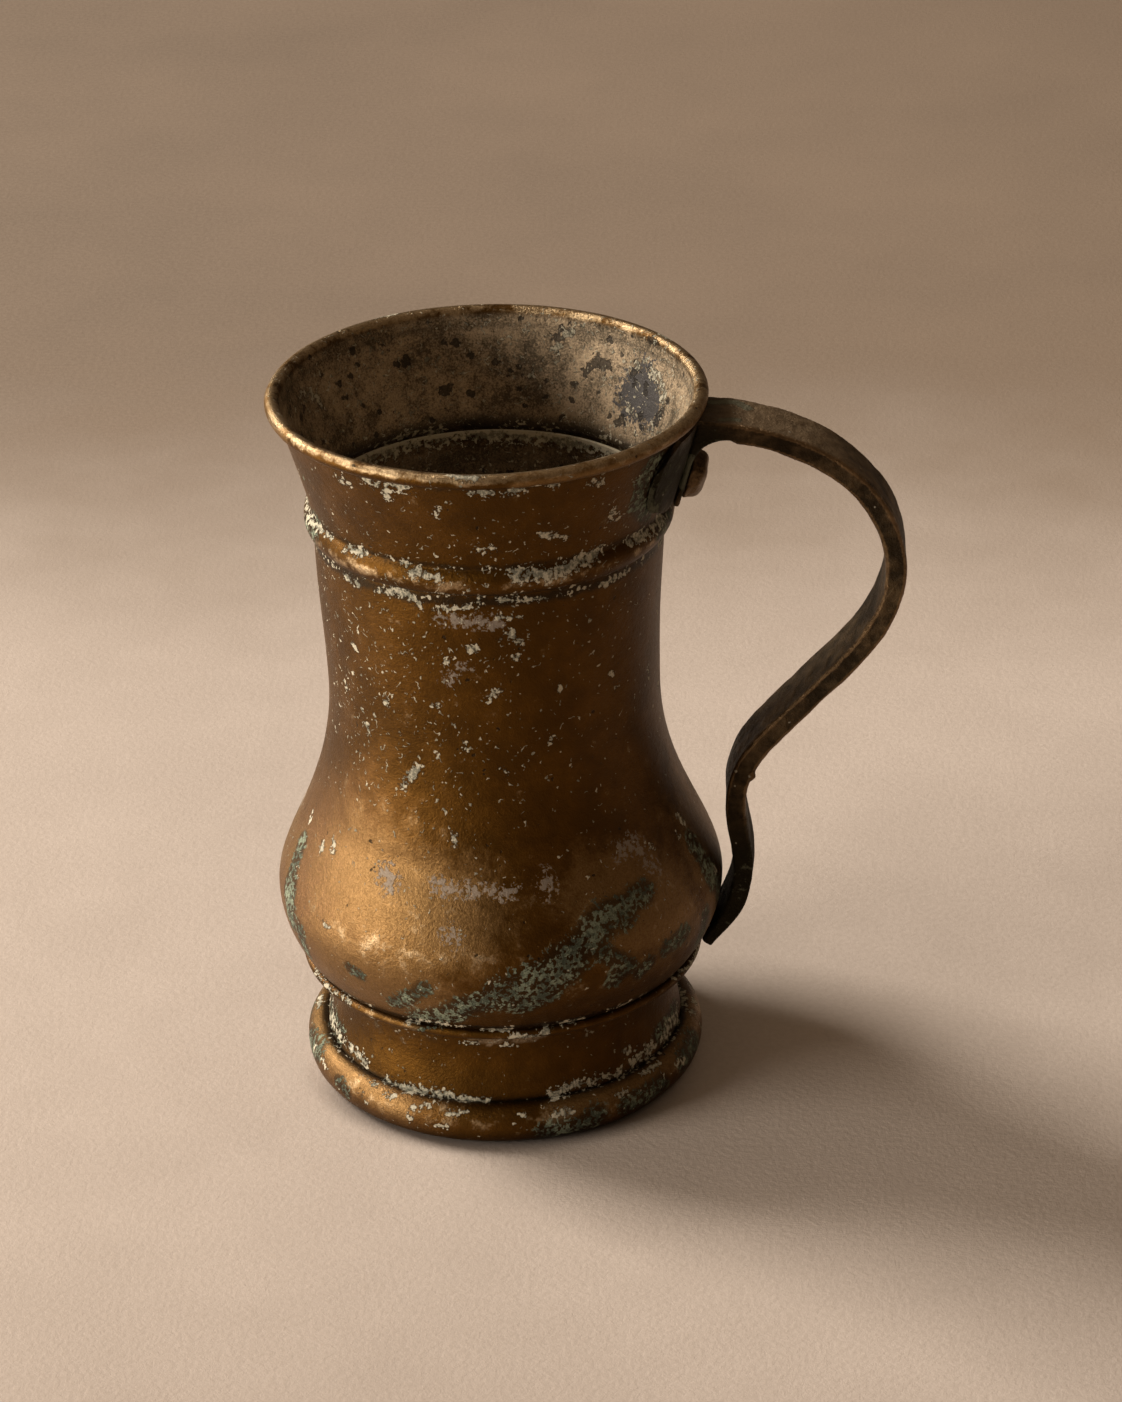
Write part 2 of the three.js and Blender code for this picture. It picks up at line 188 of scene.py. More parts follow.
def collar_line():
    roll = arc(roll_centre, (ROLL_RADIUS, ROLL_RADIUS), -105, 180, 22)
    corner = Vector((flare_foot.x - SHEET / 2, bead_top.y + SHEET / 2))
    bead = arc(bead_centre, (BEAD_ROUND, BEAD_ROUND), 44, -47, 14)
    return joined(roll, flare, rounded(flare_foot, corner, bead_top, 5), bead)


body_foot = Vector((BELLY_SEAM_RADIUS, FOOT_TOP + FIT))
lower_bend = (Vector((BELLY_RADIUS, BELLY_HEIGHT)), -90, body_foot, -127, (6.2, 3.8))


def body_line():
    neck_side = Vector((NECK_RADIUS, BEAD_HEIGHT - 3.6))
    waist_side = Vector((WAIST_RADIUS, WAIST_HEIGHT))
    belly_side = Vector((BELLY_RADIUS, BELLY_HEIGHT))
    return joined(
        [Vector((NECK_RADIUS, BEAD_HEIGHT + 1.2)), Vector((NECK_RADIUS, BEAD_HEIGHT - 1.2))],
        bend(neck_side, -90, waist_side, -90, (9.8, 13.8)),
        bend(waist_side, -90, belly_side, -90, (22.2, 9.2)),
        bend(*lower_bend),
    )


def foot_line():
    hem_outside = HEM_RADIUS + SHEET / 2
    hem = Vector((SEAM_RADIUS - hem_outside, FOOT_TOP - hem_outside))
    neck = Vector((FOOT_NECK_RADIUS - SHEET / 2, 18.0))
    flange = Vector((neck.x + 2.0, hem.y - HEM_RADIUS))
    wall = Vector((FOOT_WALL_RADIUS - SHEET / 2, 7.55))
    turn = Vector((wall.x + 0.6, 1.0))
    land = Vector((FOOT_RADIUS - 2.9, 4.175))
    crest = Vector((FOOT_RADIUS - 3.4, 4.175))
    return joined(
        [Vector((hem.x - 4.0, hem.y + HEM_RADIUS))],
        arc(hem, (HEM_RADIUS, HEM_RADIUS), 90, -90, 8),
        bend(flange, 180, neck, -90, (1.6, 3.5), 0.5),
        bend(neck, -90, wall, -90, (4.5, 3.4)),
        arc(turn, (0.6, 0.6), 180, 270, 4),
        arc(land, (2.5, 3.775), -90, 0, 10),
        arc(crest, (3.0, 3.775), 0, 106, 12),
    )


# Dents and swells of the hand-worked sheet: azimuth, height, half width, half height, depth
DENTS = [
    (-123, 61.5, 15, 3.4, -0.8),
    (-120, 54, 14, 5, 0.35),
    (-96, 60, 13, 4, -0.45),
    (-70, 61, 11, 5, -0.3),
    (-58, 52, 12, 6, 0.3),
    (-148, 45, 12, 8, 0.25),
    (60, 58, 16, 6, -0.5),
    (130, 50, 14, 8, -0.4),
    (-140, 100, 12, 14, -0.2),
    (95, 104, 14, 12, -0.25),
]


def worked(place):
    """Where the hand-worked sheet really lies, for a place on the true round."""
    around = math.atan2(place.y, place.x)
    radius = math.hypot(place.x, place.y)
    if radius < 1:
        return place
    side = Vector((math.cos(around), math.sin(around), 0))
    away = ease(abs(math.degrees(around)), 18, 45)
    slow = noise.noise(Vector((side.x * 1.7, side.y * 1.7, place.z / 30)))
    quick = noise.noise(Vector((side.x * 7, side.y * 7, place.z / 7 + 40)))
    change = (0.34 * slow + 0.07 * quick) * away
    for azimuth, height, half_width, half_height, depth in DENTS:
        turn = (math.degrees(around) - azimuth + 180) % 360 - 180
        across = math.radians(turn) * radius / half_width
        along = (place.z - height) / half_height
        change += depth * math.exp(-across * across - along * along)
    sway = -0.45 * math.exp(-((place.z - 108) / 15) ** 2)
    return place + side * change + Vector((sway, 0, 0))


def spun(profile, steps=ROUND_STEPS, closed=True):
    """The profile turned about the cup's axis."""
    mesh = bmesh.new()
    corners = [mesh.verts.new((p.x, 0, p.y)) for p in profile]
    pairs = zip(corners, corners[1:] + corners[:1] if closed else corners[1:])
    edges = [mesh.edges.new(pair) for pair in pairs]
    bmesh.ops.spin(
        mesh, geom=corners + edges, cent=(0, 0, 0), axis=(0, 0, 1), angle=math.tau,
        steps=steps, use_merge=True, use_duplicate=False, dvec=(0, 0, 0),
    )
    bmesh.ops.remove_doubles(mesh, verts=mesh.verts, dist=0.0005)
    bmesh.ops.recalc_face_normals(mesh, faces=mesh.faces)
    return mesh


def finished(name, mesh, nodes, sharp=40):
    """A piece from its mesh in millimetres, which stands for the CAD nodes."""
    bmesh.ops.transform(mesh, matrix=Matrix.Translation(CUP_AXIS) @ Matrix.Scale(MM, 4), verts=mesh.verts)
    data = bpy.data.meshes.new(name)
    mesh.to_mesh(data)
    mesh.free()
    data.shade_smooth()
    data.set_sharp_from_angle(angle=math.radians(sharp))
    piece = bpy.data.objects.new(name, data)
    bpy.context.scene.collection.objects.link(piece)
    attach(piece, "root")
    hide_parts(*nodes)
    return piece


def hand_worked(mesh):
    for corner in mesh.verts:
        corner.co = worked(corner.co)
    return mesh


# Strap: landmarks of its middle line, as radius and height
root = Vector((40.0, RIM_HEIGHT - 7.0))
reach = Vector((81.3, RIM_HEIGHT - 37.5))
kink = Vector((BELLY_RADIUS + 2.8, BELLY_HEIGHT + 18.0))
knee = Vector((BELLY_RADIUS + 4.4, BELLY_HEIGHT + 3.8))
diagonal = kink.lerp(reach, 0.445)
toe_heading = -127
toe_left = Vector((-heading(toe_heading).y, heading(toe_heading).x))
toe = body_foot - heading(toe_heading) * 1.2 + toe_left * (FIT + TOE_THICKNESS / 2)

# Upper rivet: its place on the flare, and the way out of the wall
UPPER_SEAT_SHARE = 0.82
seat_index = round(UPPER_SEAT_SHARE * (len(flare) - 1))
upper_down = (flare[seat_index + 1] - flare[seat_index - 1]).normalized()
upper_out = Vector((-upper_down.y, upper_down.x))
upper_at = flare[seat_index] + upper_out * SHEET / 2


def strap_outline():
    """Side outline of the strap with its turned-down tongue."""
    runs = [
        bend(root, 0, reach, -90, (24.8, 16.5), STRAP_STEP),
        bend(reach, -90, diagonal, -133, (12.8, 11.1), STRAP_STEP),
        bend(diagonal, -133, kink, -90, (13.1, 10.2), STRAP_STEP),
        bend(kink, -90, knee, -90, (5.2, 4.2), STRAP_STEP),
        bend(knee, -90, toe, toe_heading, (8.6, 5.7), STRAP_STEP),
    ]
    middle = joined(*runs)
    beaten_from = len(middle) - len(runs[-1])
    halves = [
        STRAP_THICKNESS / 2 + (TOE_THICKNESS - STRAP_THICKNESS) / 2 * ease(i, beaten_from, len(middle))
        for i in range(len(middle))
    ]
    outer = [p + (q - p) * h for p, q, h in zip(middle, beside(middle, 1), halves)]
    inner = [p - (q - p) * h for p, q, h in zip(middle, beside(middle, 1), halves)]
    up = -upper_down
    face = upper_at + upper_out * TONGUE_FACE
    underside = root.y - STRAP_THICKNESS / 2
    corner = face + up * ((underside - face.y) / up.y)
    fillet_end = Vector((corner.x + TONGUE_FILLET, underside))
    fillet = rounded(corner - up * TONGUE_FILLET, corner, fillet_end, 9)
    back = upper_at + upper_out * TONGUE_BACK
    back_top = back + up * ((outer[0].y - back.y) / up.y)
    inner_after = [p for p in inner if p.x > fillet_end.x + 0.5 or p.y < underside - 3]
    return joined(
        [back - up * TONGUE_TIP, back_top],
        outer,
        inner_after[::-1],
        fillet[::-1],
        [face - up * TONGUE_TIP],
    )


def forged_strap():
    """The strap as one forging, remade in even quads and left a little lumpy."""
    mesh = bmesh.new()
    corners = [mesh.verts.new((p.x, STRAP_WIDTH / 2, p.y)) for p in strap_outline()]
    side = mesh.faces.new(corners)
    grown = bmesh.ops.extrude_face_region(mesh, geom=[side])
    moved = [g for g in grown["geom"] if isinstance(g, bmesh.types.BMVert)]
    bmesh.ops.translate(mesh, vec=(0, -STRAP_WIDTH, 0), verts=moved)
    bmesh.ops.recalc_face_normals(mesh, faces=mesh.faces)
    rims = [e for e in mesh.edges if abs(e.verts[0].co.y - e.verts[1].co.y) < 0.1]
    bmesh.ops.bevel(
        mesh, geom=rims, offset=STRAP_EDGE, offset_type="OFFSET", segments=3, profile=0.5,
        affect="EDGES", material=-1,
    )
    bmesh.ops.triangulate(mesh, faces=mesh.faces)
    rough = bpy.data.meshes.new("rough_strap")
    mesh.to_mesh(rough)
    mesh.free()
    blank = bpy.data.objects.new("rough_strap", rough)
    bpy.context.scene.collection.objects.link(blank)
    remesh = blank.modifiers.new("even_quads", "REMESH")
    remesh.mode = "VOXEL"
    remesh.voxel_size = STRAP_VOXEL
    even = blank.evaluated_get(bpy.context.evaluated_depsgraph_get()).to_mesh()
    strap = bmesh.new()
    strap.from_mesh(even)
    bpy.data.objects.remove(blank)
    bmesh.ops.smooth_vert(
        strap, verts=strap.verts, factor=0.5, use_axis_x=True, use_axis_y=True, use_axis_z=True,
    )
    strap.normal_update()
    burr = Vector((52.7, -6.4, 67.2))
    for corner in strap.verts:
        place = corner.co
        lump = 0.26 * noise.noise(place / 8.0) + 0.09 * noise.noise(place / 2.4)
        free = ease(place.x, 42, 47)
        lump += 0.9 * math.exp(-((place - burr).length / 0.9) ** 2)
        corner.co = place + corner.normal * lump * (0.25 + 0.75 * free)
    return strap


def shield_half_width(height):
    """Half width of the palm at a height, from its narrow foot to its square shoulders."""
    bottom, shoulder, top = (RIM_HEIGHT - drop for drop in (PALM_BOTTOM, PALM_SHOULDER, PALM_TOP))
    if height < shoulder:
        share = math.sqrt(max(0.0, 1 - ((shoulder - height) / (shoulder - bottom)) ** 2))
        return PALM_FOOT_HALF + (PALM_SHOULDER_HALF - PALM_FOOT_HALF) * share
    return PALM_SHOULDER_HALF - PALM_TAPER * ease(height, shoulder + 3, top + 1) ** 2


def palm_plate():
    """The broad thin palm that lies on the collar under the tongue."""
    line = [p for p in flare if PALM_TOP < RIM_HEIGHT - p.y < PALM_BOTTOM]
    profile = band(line, SHEET / 2 + FIT, SHEET / 2 + PALM_FACE)
    mesh = bmesh.new()
    corners = [mesh.verts.new((p.x, 0, p.y)) for p in profile]
    side = mesh.faces.new(corners)
    bmesh.ops.rotate(mesh, verts=mesh.verts, matrix=Matrix.Rotation(-1, 3, "Z"), cent=(0, 0, 0))
    bmesh.ops.spin(
        mesh, geom=[side], cent=(0, 0, 0), axis=(0, 0, 1), angle=2, steps=72,
        use_merge=False, use_duplicate=False, dvec=(0, 0, 0),
    )
    bmesh.ops.holes_fill(mesh, edges=[e for e in mesh.edges if e.is_boundary], sides=0)
    for corner in mesh.verts:
        radius = corner.co.xy.length
        share = math.atan2(corner.co.y, corner.co.x)
        angle = math.asin(min(share * shield_half_width(corner.co.z) / radius, 1))
        angle *= 1 + 0.035 * noise.noise(Vector((share * 2, corner.co.z / 5, 3)))
        corner.co = Vector((math.cos(angle) * radius, math.sin(angle) * radius, corner.co.z))
    bmesh.ops.recalc_face_normals(mesh, faces=mesh.faces)
    return mesh


def dome_profile(radius, base, height, fullness=1.0, count=14):
    """From the edge to the middle of a dome, with a squarer shoulder where the fullness is under 1."""
    quarter = [(heading(90 * i / count).x, heading(90 * i / count).y) for i in range(count + 1)]
    return [Vector((radius * max(x, 0.0) ** fullness, base + height * y ** fullness)) for x, y in quarter]


def rivet_mesh(head_radius, head_height, seat):
    """A rivet with its clenched tail inside and its domed head outside."""
    head_face = seat + FIT
    profile = joined(
        dome_profile(TAIL_RADIUS, TAIL_FACE, -TAIL_HEIGHT)[::-1],
        [Vector((SHANK_RADIUS, TAIL_FACE)), Vector((SHANK_RADIUS, head_face))],
        [Vector((head_radius - 0.3, head_face)), Vector((head_radius, head_face + 0.3))],
        dome_profile(head_radius, head_face + 0.5, head_height - 0.5, 0.72),
    )
    mesh = spun(profile, SMALL_ROUND_STEPS, closed=False)
    for corner in mesh.verts:
        above = ease(corner.co.z, head_face + 0.3, head_face + 1.5)
        lump = above * noise.noise(corner.co / 3.4 + Vector((7, 1, 3)))
        side = 1 + 0.07 * lump - 0.07 * above
        corner.co = Vector((corner.co.x * side, corner.co.y * side, corner.co.z + 0.5 * lump))
    return mesh


def rove_mesh(radius):
    profile = [
        Vector((ROVE_BORE, ROVE_LOW)), Vector((radius - 0.2, ROVE_LOW)), Vector((radius, ROVE_LOW + 0.2)),
        Vector((radius, ROVE_HIGH)), Vector((ROVE_BORE, ROVE_HIGH)),
    ]
    return spun(profile, SMALL_ROUND_STEPS)


def seated(mesh, at, out):
    """Turns a piece made along Z to stand out of the wall on the handle's side."""
    tilt = Matrix.Rotation(math.pi / 2 - math.atan2(out.y, out.x), 4, "Y")
    bmesh.ops.transform(mesh, matrix=Matrix.Translation((at.x, 0, at.y)) @ tilt, verts=mesh.verts)
    return mesh


# Lower rivet: its place on the belly, and the way out of the wall
LOWER_SEAT_SHARE = 0.66
lower_belly = bend(*lower_bend, 0.4)
lower_index = round(LOWER_SEAT_SHARE * (len(lower_belly) - 1))
lower_down = (lower_belly[lower_index + 1] - lower_belly[lower_index - 1]).normalized()
lower_out = Vector((-lower_down.y, lower_down.x))
lower_at = lower_belly[lower_index]


def photo_camera():
    data = bpy.data.cameras.new("photo_camera")
    data.sensor_width = 36.0
    data.lens = FOCAL_PIXELS / PHOTO_SIZE[1] * data.sensor_width
    camera = bpy.data.objects.new("photo_camera", data)
    bpy.context.scene.collection.objects.link(camera)
    turn = math.radians(CAMERA_TURN)
    place = Vector((math.sin(turn) * CAMERA_DISTANCE, -math.cos(turn) * CAMERA_DISTANCE, CAMERA_HEIGHT))
    camera.matrix_world = (
        Matrix.Translation(CUP_AXIS + place * MM)
        @ Matrix.Rotation(math.radians(CAMERA_HEADING), 4, "Z")
        @ Matrix.Rotation(math.radians(90 - CAMERA_PITCH), 4, "X")
        @ Matrix.Rotation(math.radians(CAMERA_ROLL), 4, "Z")
    )
    bpy.context.scene.camera = camera
    return camera


camera = photo_camera()

mouth_collar = finished(
    "collar_sheet", hand_worked(spun(band(collar_line(), -SHEET / 2, SHEET / 2))),
    ["mouth_collar"],
)
body_shell = finished(
    "body_sheet", hand_worked(spun(band(body_line(), 0, -SHEET, 2))), ["body_shell"],
)
foot_ring = finished(
    "foot_sheet", hand_worked(spun(band(foot_line(), -SHEET / 2, SHEET / 2))),
    ["foot_ring"],
)
# Outline of the floor, from its middle below to its middle above
FLOOR_OUTLINE = [
    (0, 27.6), (39.6, 27.6), (39.8, 27.8), (39.8, 28.2), (39.6, 28.4),
    (30, 28.4), (20, 28.4), (10, 28.4), (0, 28.4),
]
floor_disc = finished(
    "floor_sheet", spun([Vector(p) for p in FLOOR_OUTLINE], 128, closed=False),
    ["floor_disc"],
)
strap_handle = finished("strap_forging", forged_strap(), ["strap_handle"], 60)
palm = finished("palm_sheet", hand_worked(palm_plate()), ["strap_handle"])
upper_rivet = finished(
    "upper_rivet_head", seated(rivet_mesh(5.2, 3.7, UPPER_SEAT), upper_at, upper_out),
    ["upper_rivet"], 60,
)
lower_rivet = finished(
    "lower_rivet_head", seated(rivet_mesh(3.5, 1.3, LOWER_SEAT), lower_at, lower_out),
    ["lower_rivet"], 60,
)
upper_rove = finished(
    "upper_rove", seated(rove_mesh(3.9), upper_at, upper_out), ["upper_rivet_rove"],
)
lower_rove = finished(
    "lower_rove", seated(rove_mesh(3.2), lower_at, lower_out), ["lower_rivet_rove"],
)
CUP_PIECES = [mouth_collar, body_shell, foot_ring, floor_disc]
HANDLE_PIECES = [strap_handle, palm, upper_rivet, lower_rivet, upper_rove, lower_rove]


# Marks, each read from the photograph as a run of places and a half width in millimetres
VERDIGRIS = [
    ([(422, 1019), (447, 1016), (463, 1008), (484, 1002), (502, 994)], 2.2),
    ([(502, 994), (522, 988), (549, 976), (570, 961)], 3.2),
    ([(524, 1004), (548, 992)], 2.2),
    ([(570, 961), (585, 943), (597, 931)], 2.6),
    ([(597, 931), (608, 914), (622, 912)], 2.8),
    ([(625, 905), (645, 890)], 2.0),
    ([(600, 950), (630, 966), (615, 979)], 1.6),
    ([(666, 948), (684, 934)], 1.7),
    ([(650, 962), (640, 972)], 1.4),
    ([(350, 968), (360, 975)], 1.2),
    ([(395, 1003), (413, 995), (424, 988)], 1.4),
    ([(300, 930), (306, 950)], 1.6),
    ([(712, 870), (719, 890), (716, 915)], 2.2),
    ([(692, 842), (704, 862), (712, 880)], 1.8),
    ([(655, 462), (645, 480), (640, 500), (648, 512)], 2.2),
    ([(668, 512), (662, 528)], 2.2),
    ([(547, 1133), (577, 1127), (596, 1115)], 2.0),
    ([(628, 1104), (662, 1083)], 1.8),
    ([(684, 1060), (694, 1040)], 2.0),
    ([(338, 1080), (346, 1092)], 1.2),
    ([(676, 1012), (670, 1024), (660, 1036)], 1.8),
    ([(690, 460), (686, 482)], 1.4),
    ([(714, 402), (734, 402), (748, 408)], 1.3),
    ([(722, 420), (738, 420)], 0.9),
]
LIME = [
    ([(338, 478), (346, 482)], 1.1),
    ([(366, 480), (383, 486), (405, 486)], 1.4),
    ([(384, 488), (387, 497)], 1.0),
    ([(470, 492), (492, 493)], 1.0),
    ([(506, 493), (520, 489)], 1.0),
    ([(538, 486), (556, 484)], 0.8),
    ([(590, 482), (603, 482)], 0.8),
    ([(452, 476), (478, 478)], 0.8),
    ([(310, 512), (312, 524)], 0.7),
    ([(316, 526), (332, 538)], 0.8),
    ([(346, 546), (366, 553)], 1.1),
    ([(405, 562), (412, 572)], 1.2),
    ([(416, 570), (438, 579)], 1.0),
    ([(516, 575), (547, 574)], 1.5),
    ([(560, 570), (584, 560), (597, 552)], 1.6),
    ([(628, 543), (642, 535)], 1.2),
    ([(650, 532), (664, 516)], 1.4),
    ([(612, 512), (617, 518)], 1.1),
    ([(542, 533), (566, 538)], 1.0),
    ([(478, 549), (494, 551)], 1.0),
    ([(438, 510), (436, 516)], 0.8),
    ([(344, 575), (360, 585)], 0.8),
    ([(376, 590), (408, 594), (420, 604)], 0.8),
    ([(436, 609), (470, 607), (480, 601)], 0.8),
    ([(498, 617), (520, 617)], 0.7),
    ([(500, 600), (545, 598)], 0.7),
    ([(600, 585), (630, 570)], 0.7),
    ([(500, 640), (512, 632), (518, 642)], 0.8),
    ([(470, 648), (476, 650)], 0.9),
    ([(443, 660), (448, 662)], 0.8),
    ([(434, 707), (437, 706)], 0.7),
    ([(385, 700), (387, 705)], 0.8),
    ([(354, 645), (356, 649)], 0.8),
    ([(345, 680), (347, 690)], 0.7),
    ([(366, 724), (369, 732)], 0.7),
    ([(466, 746), (468, 749)], 0.7),
    ([(503, 769), (505, 772)], 0.7),
    ([(552, 738), (551, 744)], 0.7),
    ([(556, 686), (558, 690)], 0.7),
    ([(489, 702), (496, 690), (502, 691)], 0.6),
    ([(514, 657), (519, 657)], 0.7),
    ([(403, 786), (420, 768)], 0.9),
    ([(611, 672), (613, 676)], 0.7),
    ([(615, 688), (617, 684)], 0.7),
    ([(334, 838), (333, 850)], 0.8),
    ([(323, 842), (322, 850)], 0.7),
    ([(454, 836), (456, 846)], 0.7),
    ([(310, 820), (313, 812)], 0.6),
    ([(324, 922), (327, 928)], 0.7),
    ([(333, 1000), (334, 1020), (338, 1034)], 0.9),
    ([(350, 1046), (366, 1062)], 1.1),
    ([(388, 1082), (408, 1089), (428, 1092), (452, 1095)], 1.2),
    ([(460, 1099), (490, 1101), (516, 1102), (540, 1102)], 0.9),
    ([(552, 1096), (570, 1086), (602, 1078), (620, 1073)], 1.3),
    ([(633, 1062), (650, 1050)], 1.2),
    ([(662, 1041), (671, 1024), (678, 1006)], 1.0),
    ([(371, 1083), (376, 1085)], 0.8),
    ([(388, 1094), (394, 1096)], 0.8),
    ([(412, 1108), (430, 1105)], 0.7),
    ([(409, 1118), (412, 1120)], 0.8),
    ([(448, 1113), (466, 1112)], 0.6),
    ([(436, 1125), (446, 1127)], 0.6),
    ([(556, 1113), (572, 1112)], 0.8),
    ([(616, 1096), (628, 1090)], 0.7),
    ([(642, 1074), (658, 1064)], 0.8),
    ([(363, 1094), (366, 1104)], 0.6),
    ([(322, 1058), (326, 1068)], 0.6),
    ([(316, 1043), (315, 1050)], 0.6),
    ([(518, 1115), (526, 1116)], 0.5),
    ([(411, 1021), (430, 1021), (448, 1025)], 0.8),
    ([(480, 1029), (512, 1029)], 0.7),
    ([(460, 1042), (476, 1043)], 0.6),
    ([(502, 1044), (512, 1044)], 0.7),
    ([(512, 1037), (540, 1036), (549, 1029)], 0.8),
    ([(562, 1023), (583, 1018)], 0.7),
    ([(316, 970), (330, 989), (350, 1003)], 0.6),
    ([(384, 443), (410, 434), (440, 431)], 1.1),
    ([(462, 430), (476, 430)], 1.0),
    ([(500, 431), (520, 434), (536, 437)], 1.1),
    ([(540, 438), (560, 444), (588, 452), (606, 460)], 1.5),
    ([(652, 372), (660, 380), (664, 392), (663, 404)], 1.2),
    ([(637, 363), (639, 368)], 0.7),
    ([(628, 408), (634, 414)], 0.8),
    ([(565, 334), (572, 333)], 0.7),
    ([(552, 350), (561, 345)], 0.6),
    ([(521, 358), (523, 366)], 0.6),
    ([(533, 372), (531, 378)], 0.6),
]
SCUFFS = [
    ([(386, 872), (390, 882)], 1.9),
    ([(440, 886), (458, 892), (475, 894)], 1.6),
    ([(484, 890), (500, 894), (516, 890)], 1.2),
    ([(546, 878), (548, 888)], 1.8),
    ([(620, 850), (632, 842), (640, 850)], 1.8),
    ([(648, 862), (654, 868)], 1.4),
    ([(446, 932), (454, 938)], 1.6),
    ([(446, 680), (452, 676)], 1.2),
    ([(460, 667), (468, 667)], 1.0),
    ([(440, 618), (500, 622)], 1.3),
]
OCHRE = [
    ([(600, 895), (640, 885), (672, 900), (670, 925), (630, 925)], 8.0),
    ([(330, 950), (370, 985), (410, 985)], 9.0),
    ([(690, 850), (700, 870)], 3.5),
    ([(350, 880), (400, 905), (440, 920)], 12.0),
    ([(560, 1110), (640, 1085), (690, 1030)], 3.0),
    ([(330, 1055), (400, 1110)], 2.6),
    ([(520, 478), (600, 468), (680, 430), (706, 395)], 2.4),
]
PITS = [
    ([(597, 360), (606, 366)], 1.4),
    ([(585, 372), (590, 366)], 0.9),
    ([(656, 421), (662, 412)], 1.2),
    ([(617, 424), (622, 420)], 1.0),
    ([(448, 388), (444, 392)], 1.0),
    ([(405, 364), (406, 358)], 1.0),
    ([(650, 340), (656, 343)], 0.8),
    ([(633, 373), (638, 370)], 0.9),
    ([(640, 415), (641, 418)], 0.9),
    ([(555, 336), (562, 340)], 0.9),
]
STAIN = [([(636, 398), (644, 388), (648, 402)], 5.2)]


def outer_tree(pieces):
    joined_mesh = bmesh.new()
    for piece in pieces:
        joined_mesh.from_mesh(piece.data)
    tree = BVHTree.FromBMesh(joined_mesh)
    joined_mesh.free()
    return tree


tree = outer_tree(CUP_PIECES + HANDLE_PIECES)


def under(pixel):
    """The place on the cup that the photograph shows there, and whether it is on the inside."""
    across = (pixel[0] - PHOTO_SIZE[0] / 2) / FOCAL_PIXELS
    down = (pixel[1] - PHOTO_SIZE[1] / 2) / FOCAL_PIXELS
    turn = camera.matrix_world.to_3x3()
    start = camera.matrix_world.translation
    place, normal = tree.ray_cast(start, turn @ Vector((across, -down, -1)))[:2]
    if place is None:
        return None
    return place, normal.xy.dot((place - CUP_AXIS).xy) < 0


def stretches(marks, echoes=(0,)):
    """Straight stretches of the marks on the cup, repeated at other azimuths."""
    found = []
    for places, half_width in marks:
        hits = [hit for hit in map(under, places) if hit is not None]
        for (start, inside), (end, also_inside) in zip(hits, hits[1:]):
            if inside != also_inside or (end - start).length > 0.03:
                continue
            for echo in echoes:
                turn = Matrix.Rotation(math.radians(echo), 3, "Z")
                turned = [CUP_AXIS + turn @ (place - CUP_AXIS) for place in (start, end)]
                found.append((*turned, half_width * MM, inside))
    return found


def vectors_of(piece, kind="co"):
    flat = np.zeros(len(piece.data.vertices) * 3)
    piece.data.vertices.foreach_get(kind, flat)
    return flat.reshape(-1, 3)


def near_marks(places, marks, inner):
    """1 on a mark, falling to 0 at twice its half width, on the side of the sheet that holds it."""
    value = np.zeros(len(places))
    for start, end, half_width, inside in marks:
        low = np.minimum(start, end) - 2 * half_width
        high = np.maximum(start, end) + 2 * half_width
        close = np.flatnonzero(((places > low) & (places < high)).all(1) & (inner == inside))
        start, along = np.array(start), np.array(end - start)
        off = places[close] - start
        share = np.clip((off @ along) / max(along @ along, 1e-12), 0, 1)
        distance = np.linalg.norm(off - np.outer(share, along), axis=1)
        value[close] = np.maximum(value[close], np.clip(1 - distance / (2 * half_width), 0, 1))
    return value


def paint(piece, name, values):
    layer = piece.data.attributes.new(name, "FLOAT", "POINT")
    layer.data.foreach_set("value", values.astype(np.float32))


def bump_at(values, centre, half):
    return np.exp(-((values - centre) / half) ** 2)


ECHOES = (0, 128, 214)
marks_of = {
    "verdigris": stretches(VERDIGRIS, ECHOES),
    "lime": stretches(LIME, ECHOES),
    "scuff": stretches(SCUFFS, ECHOES),
    "ochre": stretches(OCHRE, ECHOES),
    "pit": stretches(PITS, (0, 150)),
    "stain": stretches(STAIN),
}


